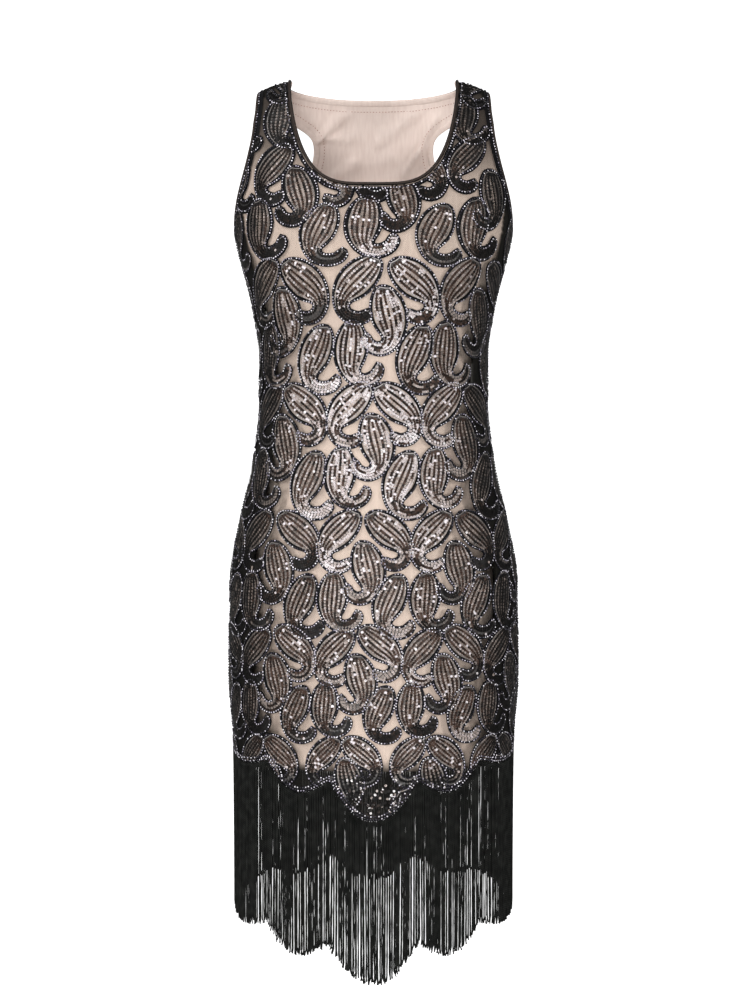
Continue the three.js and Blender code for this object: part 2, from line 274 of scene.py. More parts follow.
@dataclass
class DressForm:
    """The filled-out form of the dress, and the arcs of its level sections."""

    power: float = 2.3
    seam_gap: float = 0.3 * MM
    sections: tuple[tuple[float, float, float, float], ...] = (
        (-985, 154, 112, 114), (-800, 155, 113, 115), (-724, 156, 114, 118), (-649, 161, 115, 125),
        (-549, 160, 112, 125), (-483, 149.5, 107, 114), (-416, 134.5, 98, 98), (-349, 127.5, 93, 86),
        (-300, 127.5, 99, 85), (-249, 134.5, 113, 90), (-210, 144, 120, 95), (-170, 153.5, 114, 98),
        (-120, 157.5, 100, 99), (-84, 157, 86, 95), (-50, 153, 70, 88), (-26, 143, 54, 80),
        (-6, 126, 35, 72), (1, 116, 26, 69), (7, 94, 17, 66),
    )
    lowest: float = -985 * MM
    highest: float = 8.5 * MM
    row_step: float = 4 * MM
    shares: int = 241
    fine_turns: int = 721

    def __post_init__(self) -> None:
        """Build the profiles and the table that turns an arc into a turn of the section."""
        heights, halves, *depths = zip(*self.sections)
        self.half = SmoothProfile(heights, halves)
        self.depth = {face: SmoothProfile(heights, depth) for face, depth in zip(Face, depths)}
        self.levels = np.arange(self.lowest, self.highest, self.row_step)
        self.arcs: dict[Face, Array] = {}
        self.turns: dict[Face, Array] = {}
        turns = np.linspace(0, RIGHT_ANGLE, self.fine_turns)
        for face in Face:
            lengths, table = [], []
            for level in self.levels:
                place, _ = self.at_turn(face, turns, np.full_like(turns, level))
                steps = np.linalg.norm(np.diff(place, axis=0), axis=1)
                run = np.concatenate([[0.0], np.cumsum(steps)])
                lengths.append(run[-1])
                table.append(np.interp(np.linspace(0, run[-1], self.shares), run, turns))
            self.arcs[face] = np.array(lengths)
            self.turns[face] = np.array(table)

    def at_turn(self, face: Face, turn: Array, height: Array) -> Places:
        """Points and outward normals of the form at turns of its sections.

        Args:
            face: The half of the dress.
            turn: Turns from the centre line, in radians.
            height: Heights.

        Returns:
            The points and the normals.
        """
        power = 2 / self.power
        half, deep = self.half.value(height), self.depth[face].value(height)
        sine, cosine = np.sin(turn), np.maximum(0, np.cos(turn))
        across = half * signed_power(sine, power)
        towards = face.facing * (deep * cosine**power + self.seam_gap / 2)
        lean = sine**2 * self.half.slope(height) / half + cosine**2 * self.depth[face].slope(height) / deep
        point = np.stack([across, towards, height + 0 * across], axis=-1)
        level = [signed_power(sine, 2 - power) / half, face.facing * cosine ** (2 - power) / deep]
        return point, unit(np.stack([*level, -lean], axis=-1))

    def half_arc(self, face: Face, height: Array) -> Array:
        """Arc from the centre line to the side seam at each height."""
        return np.interp(height, self.levels, self.arcs[face])

    def turn_of(self, face: Face, arc: Array, height: Array) -> Array:
        """Turn of the section at an arc.

        Args:
            face: The half of the dress.
            arc: Arcs from the centre line.
            height: Heights.

        Returns:
            The turns.
        """
        share = np.minimum(np.abs(arc) / self.half_arc(face, height), 1)
        row = np.clip((height - self.levels[0]) / self.row_step, 0, len(self.levels) - 1.001)
        column = np.clip(share * (self.shares - 1), 0, self.shares - 1.001)
        i, j = row.astype(int), column.astype(int)
        row, column = row - i, column - j
        table = self.turns[face]
        low = table[i, j] * (1 - column) + table[i, j + 1] * column
        high = table[i + 1, j] * (1 - column) + table[i + 1, j + 1] * column
        return np.sign(arc) * (low * (1 - row) + high * row)

    def arc_of(self, face: Face, turn: Array, height: Array) -> Array:
        """Arc at a turn of the section.

        Args:
            face: The half of the dress.
            turn: Turns from the centre line.
            height: Heights.

        Returns:
            The arcs.
        """
        turn, height = np.broadcast_arrays(np.asarray(turn, float), np.asarray(height, float))
        row = np.rint((height - self.levels[0]) / self.row_step)
        row = np.clip(row, 0, len(self.levels) - 1).astype(int)
        share = np.empty(turn.size)
        even = np.linspace(0, 1, self.shares)
        for k, (i, t) in enumerate(zip(row.ravel(), np.abs(turn).ravel())):
            share[k] = np.interp(t, self.turns[face][i], even)
        return np.sign(turn) * share.reshape(turn.shape) * self.half_arc(face, height)

    def turn_across(self, across: Array, height: Array) -> Array:
        """Turn of the place at a height that lies this far from the centre line."""
        return np.arcsin(np.minimum(1, across / self.half.value(height)) ** (self.power / 2))

    def turn_deep(self, face: Face, deep: Array, height: Array) -> Array:
        """Turn of the place at a height that lies this far from the side plane."""
        return np.arccos(np.minimum(1, deep / self.depth[face].value(height)) ** (self.power / 2))


@dataclass(frozen=True)
class Scallop:
    """One scallop of the hem, from and to in shares of the way from the centre line to the side seam."""

    begin: float
    end: float
    start_height: float
    end_height: float
    dip: float


@dataclass
class Panel:
    """The cut of one face of the dress: its edges, its courses of cloth and its soft folds."""

    form: DressForm
    face: Face
    creases: tuple[Crease, ...] = ()
    neck_point: float = 7 * MM
    shoulder_tip: float = -6 * MM
    underarm: float = -170 * MM
    lining_hem: float = -750 * MM
    waist_courses: float = -210 * MM
    neck_half: float = 94 * MM
    neck_drop: float = 126.5 * MM
    neck_powers: tuple[float, float] = (2 / 3.8, 2 / 1.75)
    back_neck_drop: float = 15 * MM
    armhole_scoop: float = 49 * MM
    armhole_power: float = 1.3
    across: int = 34
    course_step: float = 8 * MM

    hems = {
        Face.FRONT: (
            Scallop(-1 / 6, 1 / 6, -760, -760, 43), Scallop(1 / 6, 1 / 2, -760, -740, 22),
            Scallop(1 / 2, 1, -740, -724, 11),
        ),
        Face.BACK: (
            Scallop(-1 / 6, 1 / 6, -691, -691, 29), Scallop(1 / 6, 1 / 2, -691, -702, 15),
            Scallop(1 / 2, 1, -702, -724, 8),
        ),
    }
    hem_tops = {Face.FRONT: -670 * MM, Face.BACK: -630 * MM}
    racer_points = (
        (153.5, -170), (124, -150), (93, -120), (72, -88), (65.5, -62), (71, -43.5), (95, -28), (116, -14),
        (126, -6),
    )
    centre_rows = {Face.FRONT: (-172, -156, -139, -123), Face.BACK: (-168, -150, -126, -100, -72, -40, -2)}
    neck_rows = {
        Face.FRONT: (0, 14, 28, 42, 55, 67, 77, 84, 90), Face.BACK: (0, 18, 36, 51, 63, 73, 82, 90),
    }
    outer_rows = {
        Face.FRONT: (180, 168, 156, 143, 130, 116, 101, 85, 68, 49, 27, 0),
        Face.BACK: (0, 0.08, 0.17, 0.27, 0.37, 0.45, 0.5, 0.55, 0.62, 0.69, 0.77, 0.85, 0.93, 1),
    }
    take_rows = ((-750, 26), (-549, 25), (-400, 19), (-300, 16), (-216, 9), (-170, 0), (7, 0))

    def __post_init__(self) -> None:
        """Prepare the lining's take-in and the outline of the cut."""
        self.take_in = SmoothProfile(*zip(*self.take_rows))
        self.outline = self._outline()

    def hem(self, share: Array) -> Array:
        """Height of the scalloped hem at a share of the way from the centre line to the side seam.

        Args:
            share: Shares, of either sign.

        Returns:
            The heights.
        """
        share = np.minimum(np.abs(np.asarray(share, float)), 1)
        height = np.zeros_like(share)
        for scallop in reversed(self.hems[self.face]):
            t = (share - scallop.begin) / (scallop.end - scallop.begin)
            line = scallop.start_height + (scallop.end_height - scallop.start_height) * t
            height = np.where(share <= scallop.end, (line - scallop.dip * np.sin(np.pi * t)) * MM, height)
        return height

    def neck_edge(self, angle: Array) -> Places:
        """Turn and height on the neck edge.

        Args:
            angle: Where on the edge: 0 is its lowest point and a right angle the neck point.

        Returns:
            The turns and the heights.
        """
        if self.face is Face.BACK:
            return angle, self.neck_point - self.back_neck_drop * (1 - np.sin(angle) ** 2)
        height = self.neck_point - self.neck_drop * np.maximum(0, np.cos(angle)) ** self.neck_powers[1]
        across = self.neck_half * np.sin(angle) ** self.neck_powers[0]
        return self.form.turn_across(across, height), height

    def outer_edge(self, place: Array) -> Places:
        """Turn and height on the armhole.

        Args:
            place: Degrees down from the shoulder tip on the front, a share of the racer edge on the back.

        Returns:
            The turns and the heights.
        """
        if self.face is Face.FRONT:
            angle = np.radians(place)
            middle, reach = (self.shoulder_tip + self.underarm) / 2, (self.shoulder_tip - self.underarm) / 2
            height = middle + reach * np.cos(angle)
            deep = self.armhole_scoop * np.maximum(0, np.sin(angle)) ** self.armhole_power
            return self.form.turn_deep(Face.FRONT, deep, height), height
        points = np.array(self.racer_points) * MM
        padded = np.vstack([points[:1], points, points[-1:]])
        spot = np.clip(np.asarray(place, float), 0, 1) * (len(points) - 1)
        i = np.minimum(spot.astype(int), len(points) - 2)
        curve = bend([padded[i + k] for k in range(4)], (spot - i)[..., None])
        return self.form.turn_across(curve[..., 0], curve[..., 1]), curve[..., 1]

    def yoke_edges(self, fine: int) -> Places:
        """Inner and outer ends of the courses from the underarm to the shoulder, as turns and heights.

        Args:
            fine: How many courses there are for each row of the tables.

        Returns:
            Turns and heights of the inner ends, and turns and heights of the outer ends.
        """
        centres, necks = self.centre_rows[self.face], self.neck_rows[self.face]
        outers = self.outer_rows[self.face]
        row = np.linspace(0, len(outers) - 1, (len(outers) - 1) * fine + 1)
        turned = len(centres) - 1
        low = np.interp(row, np.arange(len(centres)), centres) * MM
        angle = np.radians(np.interp(row, np.arange(len(necks)) + turned, necks))
        neck_turn, neck_height = self.neck_edge(angle)
        inner = np.stack([np.where(row <= turned, 0.0, neck_turn), np.where(row < turned, low, neck_height)])
        return inner, np.stack(self.outer_edge(np.interp(row, np.arange(len(outers)), outers)))

    def courses(self, lining: bool) -> Places:
        """Turns and heights of the half panel's courses, one row from the hem to the shoulder each.

        Args:
            lining: Whether they stop at the lining's straight hem.

        Returns:
            The turns and the heights.
        """
        share = np.linspace(0, 1, self.across + 1)
        full, bottom = [], self.lining_hem
        if not lining:
            hem, bottom = self.hem(share), self.hem_tops[self.face]
            count = int(round((bottom - hem.min()) / self.course_step)) + 2
            full.append(hem + (bottom - hem) * np.linspace(0, 1, count, endpoint=False)[:, None])
        count = int(round((self.waist_courses - bottom) / self.course_step))
        straight = np.linspace(bottom, self.waist_courses, count + 1)
        full.append(np.repeat(straight[:, None], len(share), 1))
        inner, outer = self.yoke_edges(4)
        yoke = inner[..., None] + (outer - inner)[..., None] * share
        for t in (0.25, 0.5, 0.75):
            full.append(self.waist_courses + (yoke[1][:1] - self.waist_courses) * t)
        heights = np.vstack(full)
        turns = np.broadcast_to(share * RIGHT_ANGLE, heights.shape)
        return np.vstack([turns, yoke[0]]), np.vstack([heights, yoke[1]])

    def _outline(self) -> Array:
        """Lay out the cut's edges and its outline.

        Returns:
            Arcs and heights round both halves, as a closed polygon without its last point.
        """
        form, face = self.form, self.face
        share = np.linspace(0, 1, 81)
        hem = np.stack([form.arc_of(face, share * RIGHT_ANGLE, self.hem(share)), self.hem(share)], 1)
        side_height = np.linspace(hem[-1, 1], self.underarm, 60)
        side = np.stack([form.half_arc(face, side_height), side_height], 1)
        inner, outer = self.yoke_edges(6)
        outer = np.stack([form.arc_of(face, *outer), outer[1]], 1)
        neck = np.stack([form.arc_of(face, *inner), inner[1]], 1)[inner[0] > 0][::-1]
        neck = np.vstack([neck, [[0.0, inner[1][inner[0] == 0][-1]]]])
        self.edges = {"hem": hem, "outer": outer, "neck": neck}
        half = np.vstack([hem[1:], side[1:], outer[1:], neck[:-1]])
        return np.vstack([hem[:1], half, neck[-1:], (half * [-1, 1])[::-1]])

    def clearance(self, arc: Array, height: Array) -> Array:
        """Distance inside the cut's outline; outside it is negative.

        Args:
            arc: Arcs.
            height: Heights.

        Returns:
            The distances.
        """
        start, end = self.outline, np.roll(self.outline, -1, axis=0)
        line = end - start
        size = np.maximum((line**2).sum(1), 1e-12)
        result = np.empty(arc.size)
        for begin in range(0, arc.size, 4000):
            spot = np.stack([arc.ravel()[begin : begin + 4000], height.ravel()[begin : begin + 4000]], 1)
            gap = spot[:, None] - start
            t = np.clip((gap * line).sum(2) / size, 0, 1)
            near = np.sqrt(((gap - t[..., None] * line) ** 2).sum(2)).min(1)
            above = (start[:, 1] > spot[:, None, 1]) != (end[:, 1] > spot[:, None, 1])
            rise = np.where(np.abs(line[:, 1]) < 1e-12, 1e-12, line[:, 1])
            crossing = spot[:, None, 0] < start[:, 0] + gap[..., 1] * line[:, 0] / rise
            inside = (above & crossing).sum(1) % 2 == 1
            result[begin : begin + 4000] = np.where(inside, near, -near)
        return result.reshape(arc.shape)

    def beside(self, name: str, side: int, offset: float) -> Array:
        """A line beside one of the cut's edges.

        Args:
            name: The edge: hem, outer or neck.
            side: 1 for the half towards +X, -1 for the other.
            offset: How far inside the edge, in millimetres.

        Returns:
            Arcs and heights.
        """
        line = self.edges[name] * [side, 1]
        heading = unit(np.gradient(line, axis=0))
        across = np.stack([-heading[:, 1], heading[:, 0]], axis=1)
        trial = (line + across * MM)[len(line) // 2][None]
        way = 1 if self.clearance(trial[:, 0], trial[:, 1])[0] > 0 else -1
        return line + across * way * offset * MM

    def rise(self, arc: Array, height: Array) -> Array:
        """How far the panel's soft folds lift it.

        Args:
            arc: Arcs.
            height: Heights.

        Returns:
            The lift at each place.
        """
        total = np.zeros(np.broadcast(arc, height).shape)
        for crease in self.creases:
            total = total + crease.rise(arc, height)
        return total

    def cloth(
        self, arc: Array, height: Array, inset: float | Array, lining: bool = False
    ) -> Places:
        """Points and outward normals of a layer of cloth.

        Args:
            arc: Distances round from the centre line.
            height: Heights.
            inset: How far inside the form the layer lies.
            lining: Whether the layer is taken in at the side seams as the lining is.

        Returns:
            The points and the normals.
        """
        point, normal = self.form.at_turn(self.face, self.form.turn_of(self.face, arc, height), height)
        point = point + normal * (self.rise(arc, height) - inset)[..., None]
        if lining:
            narrow = 1 - self.take_in.value(height) / self.form.half.value(height)
            point = point * np.stack([narrow, np.ones_like(narrow), np.ones_like(narrow)], axis=-1)
        return point, normal

    def headings(self, normal: Array) -> Places:
        """Unit directions of growing arc and of growing height in the cloth.

        Args:
            normal: Outward normals.

        Returns:
            The two directions at each normal.
        """
        facing = self.face.facing
        level = np.stack([facing * normal[..., 1], -facing * normal[..., 0], 0 * normal[..., 0]], axis=-1)
        level = unit(level)
        return level, -facing * np.cross(normal, level)


@dataclass
class Stamp:
    """A small mesh that is repeated many times: its points, its faces and a value for each point."""

    points: Array
    faces: list[list[int]]
    spot: Array

    @classmethod
    def of(cls, mesh: BMesh, radial: bool = False) -> "Stamp":
        """Take the points and faces of a bmesh, and free it.

        Args:
            mesh: The shape, of diameter one.
            radial: Whether the points' value is their distance from the Z axis, not their height.

        Returns:
            The stamp.
        """
        mesh.verts.ensure_lookup_table()
        mesh.verts.index_update()
        points = np.array([vertex.co[:] for vertex in mesh.verts])
        faces = [[vertex.index for vertex in face.verts] for face in mesh.faces]
        mesh.free()
        spot = 2 * (np.hypot(points[:, 0], points[:, 1]) if radial else points[:, 2])
        return cls(points, faces, spot)

    @classmethod
    def bead(cls) -> "Stamp":
        """A round seed bead of diameter one.

        Returns:
            The stamp.
        """
        mesh = bmesh.new()
        bmesh.ops.create_icosphere(mesh, subdivisions=1, radius=0.5)
        return cls.of(mesh)

    @classmethod
    def sequin(cls, sides: int = 6, dish: float = 0.0) -> "Stamp":
        """A disc of diameter one, flat or dished with its rim raised.

        Args:
            sides: Corners of the disc.
            dish: Height of the rim, as a share of its distance out.

        Returns:
            The stamp.
        """
        mesh = bmesh.new()
        bmesh.ops.create_circle(mesh, cap_ends=True, cap_tris=dish > 0, segments=sides, radius=0.5)
        for vertex in mesh.verts:
            vertex.co.z = dish * vertex.co.length
        cls._face_up(mesh)
        return cls.of(mesh, radial=True)

    @classmethod
    def strip(cls, length: int, width: int) -> "Stamp":
        """A flat grid from -1 to 1 both ways.

        Args:
            length: Faces along X.
            width: Faces along Y.

        Returns:
            The stamp.
        """
        mesh = bmesh.new()
        bmesh.ops.create_grid(mesh, x_segments=length, y_segments=width, size=1.0)
        return cls.of(mesh)

    @staticmethod
    def _face_up(mesh: BMesh) -> None:
        """Turn a flat shape's faces towards +Z.

        Args:
            mesh: The shape.
        """
        bmesh.ops.recalc_face_normals(mesh, faces=mesh.faces)
        if sum(face.normal.z for face in mesh.faces) < 0:
            bmesh.ops.reverse_faces(mesh, faces=mesh.faces)

    def placed(
        self, centre: Array, ahead: Array, normal: Array, size: Array
    ) -> Array:
        """Points of every copy.

        Args:
            centre: Centres of the copies.
            ahead: Directions of the stamp's X in the surface.
            normal: Directions of the stamp's Z.
            size: Scales along X, Y and Z, one row a copy.

        Returns:
            Points of shape copies, stamp points, 3.
        """
        ahead = unit(ahead - normal * (ahead * normal).sum(-1, keepdims=True))
        side = np.cross(normal, ahead)
        scaled = self.points[None] * size[:, None, :]
        axes = np.stack([ahead, side, normal], axis=1)
        return centre[:, None, :] + scaled @ axes


def joined_mesh(
    name: str,
    parts: list[tuple[Stamp, Array, Array]],
    smooth: bool = True,
) -> Piece:
    """One mesh from many copies of stamps.

    Args:
        name: Name of the piece.
        parts: Stamps, the points of their copies, and a shade from 0 to 1 for each copy or each point.
        smooth: Whether the faces are shaded smooth.

    Returns:
        The new object, in the scene.
    """
    points, corners, starts, shades, spots = [], [], [], [], []
    first_point = first_corner = 0
    for stamp, placed, shade in parts:
        copies, size = placed.shape[:2]
        flat = np.array([corner for face in stamp.faces for corner in face])
        begin = np.cumsum([0] + [len(face) for face in stamp.faces])[:-1]
        shift = first_point + size * np.arange(copies)[:, None]
        points.append(placed.reshape(-1, 3))
        corners.append((flat[None] + shift).ravel())
        starts.append((begin[None] + first_corner + len(flat) * np.arange(copies)[:, None]).ravel())
        shade = np.asarray(shade, float)
        shades.append(np.repeat(shade, size) if shade.size == copies else shade.ravel())
        spots.append(np.tile(stamp.spot, copies))
        first_point += copies * size
        first_corner += copies * len(flat)
    corner, start = np.concatenate(corners), np.concatenate(starts)
    mesh = bpy.data.meshes.new(name)
    mesh.vertices.add(first_point)
    mesh.vertices.foreach_set("co", np.concatenate(points).astype(np.float32).ravel())
    mesh.loops.add(len(corner))
    mesh.loops.foreach_set("vertex_index", corner.astype(np.int32))
    mesh.polygons.add(len(start))
    mesh.polygons.foreach_set("loop_start", start.astype(np.int32))
    mesh.update(calc_edges=True)
    for label, values in ((SHADE, shades), (SPOT, spots)):
        attribute = mesh.attributes.new(label, "FLOAT", "POINT")
        attribute.data.foreach_set("value", np.concatenate(values).astype(np.float32))
    mesh.polygons.foreach_set("use_smooth", np.full(len(start), smooth))
    mesh.validate()
    return add_object(name, mesh)


def add_object(name: str, mesh: bpy.types.Mesh) -> Piece:
    """A new object with a mesh, in the scene.

    Args:
        name: Its name.
        mesh: Its mesh.

    Returns:
        The object.
    """
    mesh.name = name
    piece = bpy.data.objects.new(name, mesh)
    bpy.context.scene.collection.objects.link(piece)
    return piece


def smooth_piece(name: str, mesh: BMesh) -> Piece:
    """A smooth-shaded object from a bmesh.

    Args:
        name: Name of the piece.
        mesh: Its shape, which is freed.

    Returns:
        The new object, in the scene.
    """
    data = bpy.data.meshes.new(name)
    mesh.to_mesh(data)
    mesh.free()
    data.polygons.foreach_set("use_smooth", np.ones(len(data.polygons), bool))
    return add_object(name, data)


def grid(mesh: BMesh, columns: int, rows: int) -> dict[bmesh.types.BMVert, tuple[int, int]]:
    """Add a flat grid from -1 to 1 both ways.

    Args:
        mesh: Where it is added.
        columns: Faces along X.
        rows: Faces along Y.

    Returns:
        The column and row of each vertex.
    """
    return {
        vertex: (round((vertex.co.x + 1) / 2 * columns), round((vertex.co.y + 1) / 2 * rows))
        for vertex in bmesh.ops.create_grid(mesh, x_segments=columns, y_segments=rows, size=1.0)["verts"]
    }


def triangles(piece: Piece) -> int:
    """How many triangles a piece's own mesh has."""
    return sum(len(face.vertices) - 2 for face in piece.data.polygons)


class NodeSet:
    """Short ways to build a material's nodes."""

    def __init__(self, name: str) -> None:
        """Make an empty material with an output.

        Args:
            name: Name of the material.
        """
        self.material = bpy.data.materials.new(name)
        self.material.use_nodes = True
        self.tree = self.material.node_tree
        self.tree.nodes.clear()
        self.output = self.tree.nodes.new("ShaderNodeOutputMaterial")

    def node(self, kind: str, inputs: dict | None = None, **settings: object) -> bpy.types.Node:
        """Add a node; inputs are values or sockets by name or number.

        Args:
            kind: Type of the node.
            inputs: Its inputs by name or number.
            settings: Its own properties.

        Returns:
            The node.
        """
        node = self.tree.nodes.new(kind)
        for key, value in settings.items():
            setattr(node, key, value)
        for key, value in (inputs or {}).items():
            if isinstance(value, Socket):
                self.tree.links.new(value, node.inputs[key])
            else:
                node.inputs[key].default_value = value
        return node

    def math(self, operation: str, first: object, second: object = 0.0) -> Socket:
        """A math node's result."""
        return self.node("ShaderNodeMath", {0: first, 1: second}, operation=operation).outputs[0]

    def wave(self, value: object, length: float) -> Socket:
        """Sine of a value, with this wavelength."""
        return self.math("SINE", self.math("MULTIPLY", value, FULL_TURN / length))

    def sum(self, first: object, share: float, second: object, other: float) -> Socket:
        """Sum of two values, each times its own share."""
        return self.math("ADD", self.math("MULTIPLY", first, share), self.math("MULTIPLY", second, other))

    def cut(self) -> tuple[Socket, ...]:
        """The place in the piece's UV map, and its two axes."""
        place = self.node("ShaderNodeUVMap", uv_map=CUT).outputs[0]
        return place, *list(self.node("ShaderNodeSeparateXYZ", {0: place}).outputs)[:2]

    def place(self) -> Socket:
        """The place in the piece's own space."""
        return self.node("ShaderNodeTexCoord").outputs["Object"]

    def carried(self, name: str) -> Socket:
        """A value that the mesh carries."""
        kind = {"attribute_name": name, "attribute_type": "GEOMETRY"}
        return self.node("ShaderNodeAttribute", **kind).outputs["Fac"]

    def bump(self, height: object, strength: float, distance: float) -> Socket:
        """Normal of a surface with this relief."""
        inputs = {"Height": height, "Strength": strength, "Distance": distance}
        return self.node("ShaderNodeBump", inputs).outputs[0]

    def shader(self, inputs: dict) -> Socket:
        """A surface shader with these inputs: sockets, or plain values that are set on its own sockets."""
        return self.node("ShaderNodeBsdfPrincipled", inputs).outputs[0]

    def ramp(self, factor: object, stops: tuple[tuple[float, Triple], ...]) -> Socket:
        """A colour ramp's colour.

        Args:
            factor: Where on the ramp.
            stops: Positions and colours, in order.

        Returns:
            The colour's socket.
        """
        node = self.node("ShaderNodeValToRGB", {0: factor})
        elements = node.color_ramp.elements
        while len(elements) < len(stops):
            elements.new(0.5)
        for element, (position, colour) in zip(elements, stops):
            element.position = position
            element.color = (*colour, 1.0)
        return node.outputs[0]

    def spread(self, factor: object, low: float, high: float) -> Socket:
        """A value from 0 to 1 spread between two values."""
        return self.node("ShaderNodeMapRange", {0: factor, 3: low, 4: high}).outputs[0]

    def noise(self, vector: object, scale: float, detail: float = 2.0) -> Socket:
        """A soft random value from 0 to 1."""
        inputs = {"Vector": vector, "Scale": scale, "Detail": detail}
        return self.node("ShaderNodeTexNoise", inputs, noise_dimensions="3D").outputs[0]

    def finish(self, shader: Socket) -> bpy.types.Material:
        """Join a shader to the output."""
        self.tree.links.new(shader, self.output.inputs["Surface"])
        return self.material


def linear(red: int, green: int, blue: int) -> Triple:
    """A colour of eight-bit steps as a linear one.

    Args:
        red: Red, from 0 to 255.
        green: Green.
        blue: Blue.

    Returns:
        The linear colour.
    """
    return tuple(
        value / 255 / 12.92 if value <= 10 else ((value / 255 + 0.055) / 1.055) ** 2.4
        for value in (red, green, blue)
    )


def stops(*rows: tuple[float, int, int, int]) -> tuple[tuple[float, Triple], ...]:
    """Stops of a ramp from their positions and eight-bit colours."""
    return tuple((position, linear(*steps)) for position, *steps in rows)


@dataclass(frozen=True)
class LiningFinish:
    """Fine nude knit with lengthwise ribs."""

    pale: Triple = linear(224, 208, 199)
    deep: Triple = linear(213, 195, 186)
    rib: float = 1.1 * MM
    loop: float = 0.88 * MM
    streak_scale: Triple = (6.0, 1.0, 1.0)

    def material(self) -> bpy.types.Material:
        """Build the material; its pattern follows the cut.

        Returns:
            The material.
        """
        nodes = NodeSet("nude_knit")
        cut, arc, height = nodes.cut()
        loops = nodes.math("MULTIPLY", nodes.wave(height, self.loop), 0.45)
        knit = nodes.math("ADD", nodes.wave(arc, self.rib), loops)
        stretched = nodes.node("ShaderNodeMapping", {"Vector": cut, "Scale": self.streak_scale}).outputs[0]
        streaks = nodes.noise(stretched, 55.0, 3.0)
        tone = nodes.sum(streaks, 0.65, nodes.noise(cut, 14.0), 0.35)
        return nodes.finish(nodes.shader({
            "Base Color": nodes.ramp(tone, ((0.35, self.deep), (0.65, self.pale))),
            "Roughness": nodes.spread(streaks, 0.72, 0.88),
            "Normal": nodes.bump(nodes.sum(knit, 0.25, streaks, 0.7), 0.35, 0.25 * MM),
            "Sheen Weight": 0.08, "Sheen Roughness": 0.5, "Specular IOR Level": 0.25,
        }))


@dataclass(frozen=True)
class NetFinish:
    """Sheer charcoal net of fine crossed threads, closed up at the seams and hem, and as painted shade on
    straps and bodice.
    """

    dark: Triple = (0.003, 0.003, 0.003)
    light: Triple = (0.014, 0.013, 0.011)
    tint: tuple[float, float, float, float] = (1.0, 0.98, 0.945, 1.0)
    mesh_size: float = 2.3 * MM
    coverage: float = 0.06

    def material(self) -> bpy.types.Material:
        """Build the material; its threads follow the cut.

        Returns:
            The material.
        """
        nodes = NodeSet("charcoal_net")
        cut, arc, height = nodes.cut()
        lines = []
        for operation in ("ADD", "SUBTRACT"):
            slant = nodes.math("MULTIPLY", nodes.math(operation, arc, height), 1 / self.mesh_size)
            centred = nodes.math("ABSOLUTE", nodes.math("SUBTRACT", nodes.math("FRACT", slant), 0.5))
            lines.append(nodes.math("GREATER_THAN", centred, 0.5 - self.coverage / 4))
        threads = nodes.math("MAXIMUM", *lines)
        # The carried value closes the holes: closer net at the seams and below the lining's hem, painted
        # shade on bodice and straps.
        close = nodes.math("MULTIPLY", nodes.math("SUBTRACT", 1.0, threads), nodes.carried(SHADE))
        grain = nodes.noise(cut, 900.0, 1.0)
        tone = nodes.sum(grain, 0.6, nodes.noise(cut, 45.0), 0.4)
        cloth = nodes.shader({
            "Base Color": nodes.ramp(tone, ((0.35, self.dark), (0.65, self.light))),
            "Normal": nodes.bump(grain, 0.3, 0.1 * MM), "Roughness": 0.65, "Specular IOR Level": 0.04,
        })
        holes = nodes.node("ShaderNodeBsdfTransparent", {"Color": self.tint}).outputs[0]
        inputs = {0: nodes.math("ADD", threads, close), 1: holes, 2: cloth}
        return nodes.finish(nodes.node("ShaderNodeMixShader", inputs).outputs[0])


@dataclass(frozen=True)
class SparkleFinish:
    """Glass beads, sequins or cord, coloured by each one's shade, painted shade included, and a painted
    highlight on it.
    """

    name: str
    profile: tuple[tuple[float, float], ...]
    stops: tuple[tuple[float, Triple], ...]
    metallic: float
    roughness: tuple[float, float]
    coat: float = 0.0
    gloss: float = 0.5
    grain: float = 700.0
    coat_roughness: float = 0.12
    unevenness: float = 0.12

    def material(self) -> bpy.types.Material:
        """Build the material.

        Returns:
            The material.
        """
        nodes = NodeSet(self.name)
        # The profile paints a highlight by the place on each one: the top cap of a bead, a ring on a silver
        # sequin.
        shape = nodes.ramp(nodes.carried(SPOT), tuple((at, (value,) * 3) for at, value in self.profile))
        mottle = nodes.noise(nodes.place(), self.grain, 1.0)
        shift = nodes.math("MULTIPLY", nodes.math("SUBTRACT", mottle, 0.5), self.unevenness)
        tone = nodes.math("ADD", nodes.math("MULTIPLY", nodes.carried(SHADE), shape), shift)
        return nodes.finish(nodes.shader({
            "Base Color": nodes.ramp(tone, self.stops),
            "Roughness": nodes.spread(mottle, *self.roughness),
            "Normal": nodes.bump(mottle, 0.15, 0.05 * MM),
            "Metallic": self.metallic, "Specular IOR Level": self.gloss,
            "Coat Weight": self.coat, "Coat Roughness": self.coat_roughness,
        }))


@dataclass(frozen=True)
class ThreadFinish:
    """Twisted thread of one hue, darker in patches."""

    name: str
    dark: Triple
    light: Triple
    twist: float
    lean: float = 0.6
    roughness: float = 0.6
    gloss: float = 0.1

    def material(self) -> bpy.types.Material:
        """Build the material; its twist runs across the piece.

        Returns:
            The material.
        """
        nodes = NodeSet(self.name)
        place = nodes.place()
        axes = nodes.node("ShaderNodeSeparateXYZ", {0: place}).outputs
        slant = nodes.math("ADD", axes[2], nodes.math("MULTIPLY", axes[0], self.lean))
        twist = nodes.wave(slant, self.twist)
        tone = nodes.math("ADD", nodes.math("MULTIPLY", twist, 0.18), nodes.noise(place, 120.0))
        return nodes.finish(nodes.shader({
            "Base Color": nodes.ramp(tone, ((0.35, self.dark), (0.75, self.light))),
            "Normal": nodes.bump(twist, 0.5, 0.15 * MM),
            "Roughness": self.roughness, "Specular IOR Level": self.gloss,
        }))


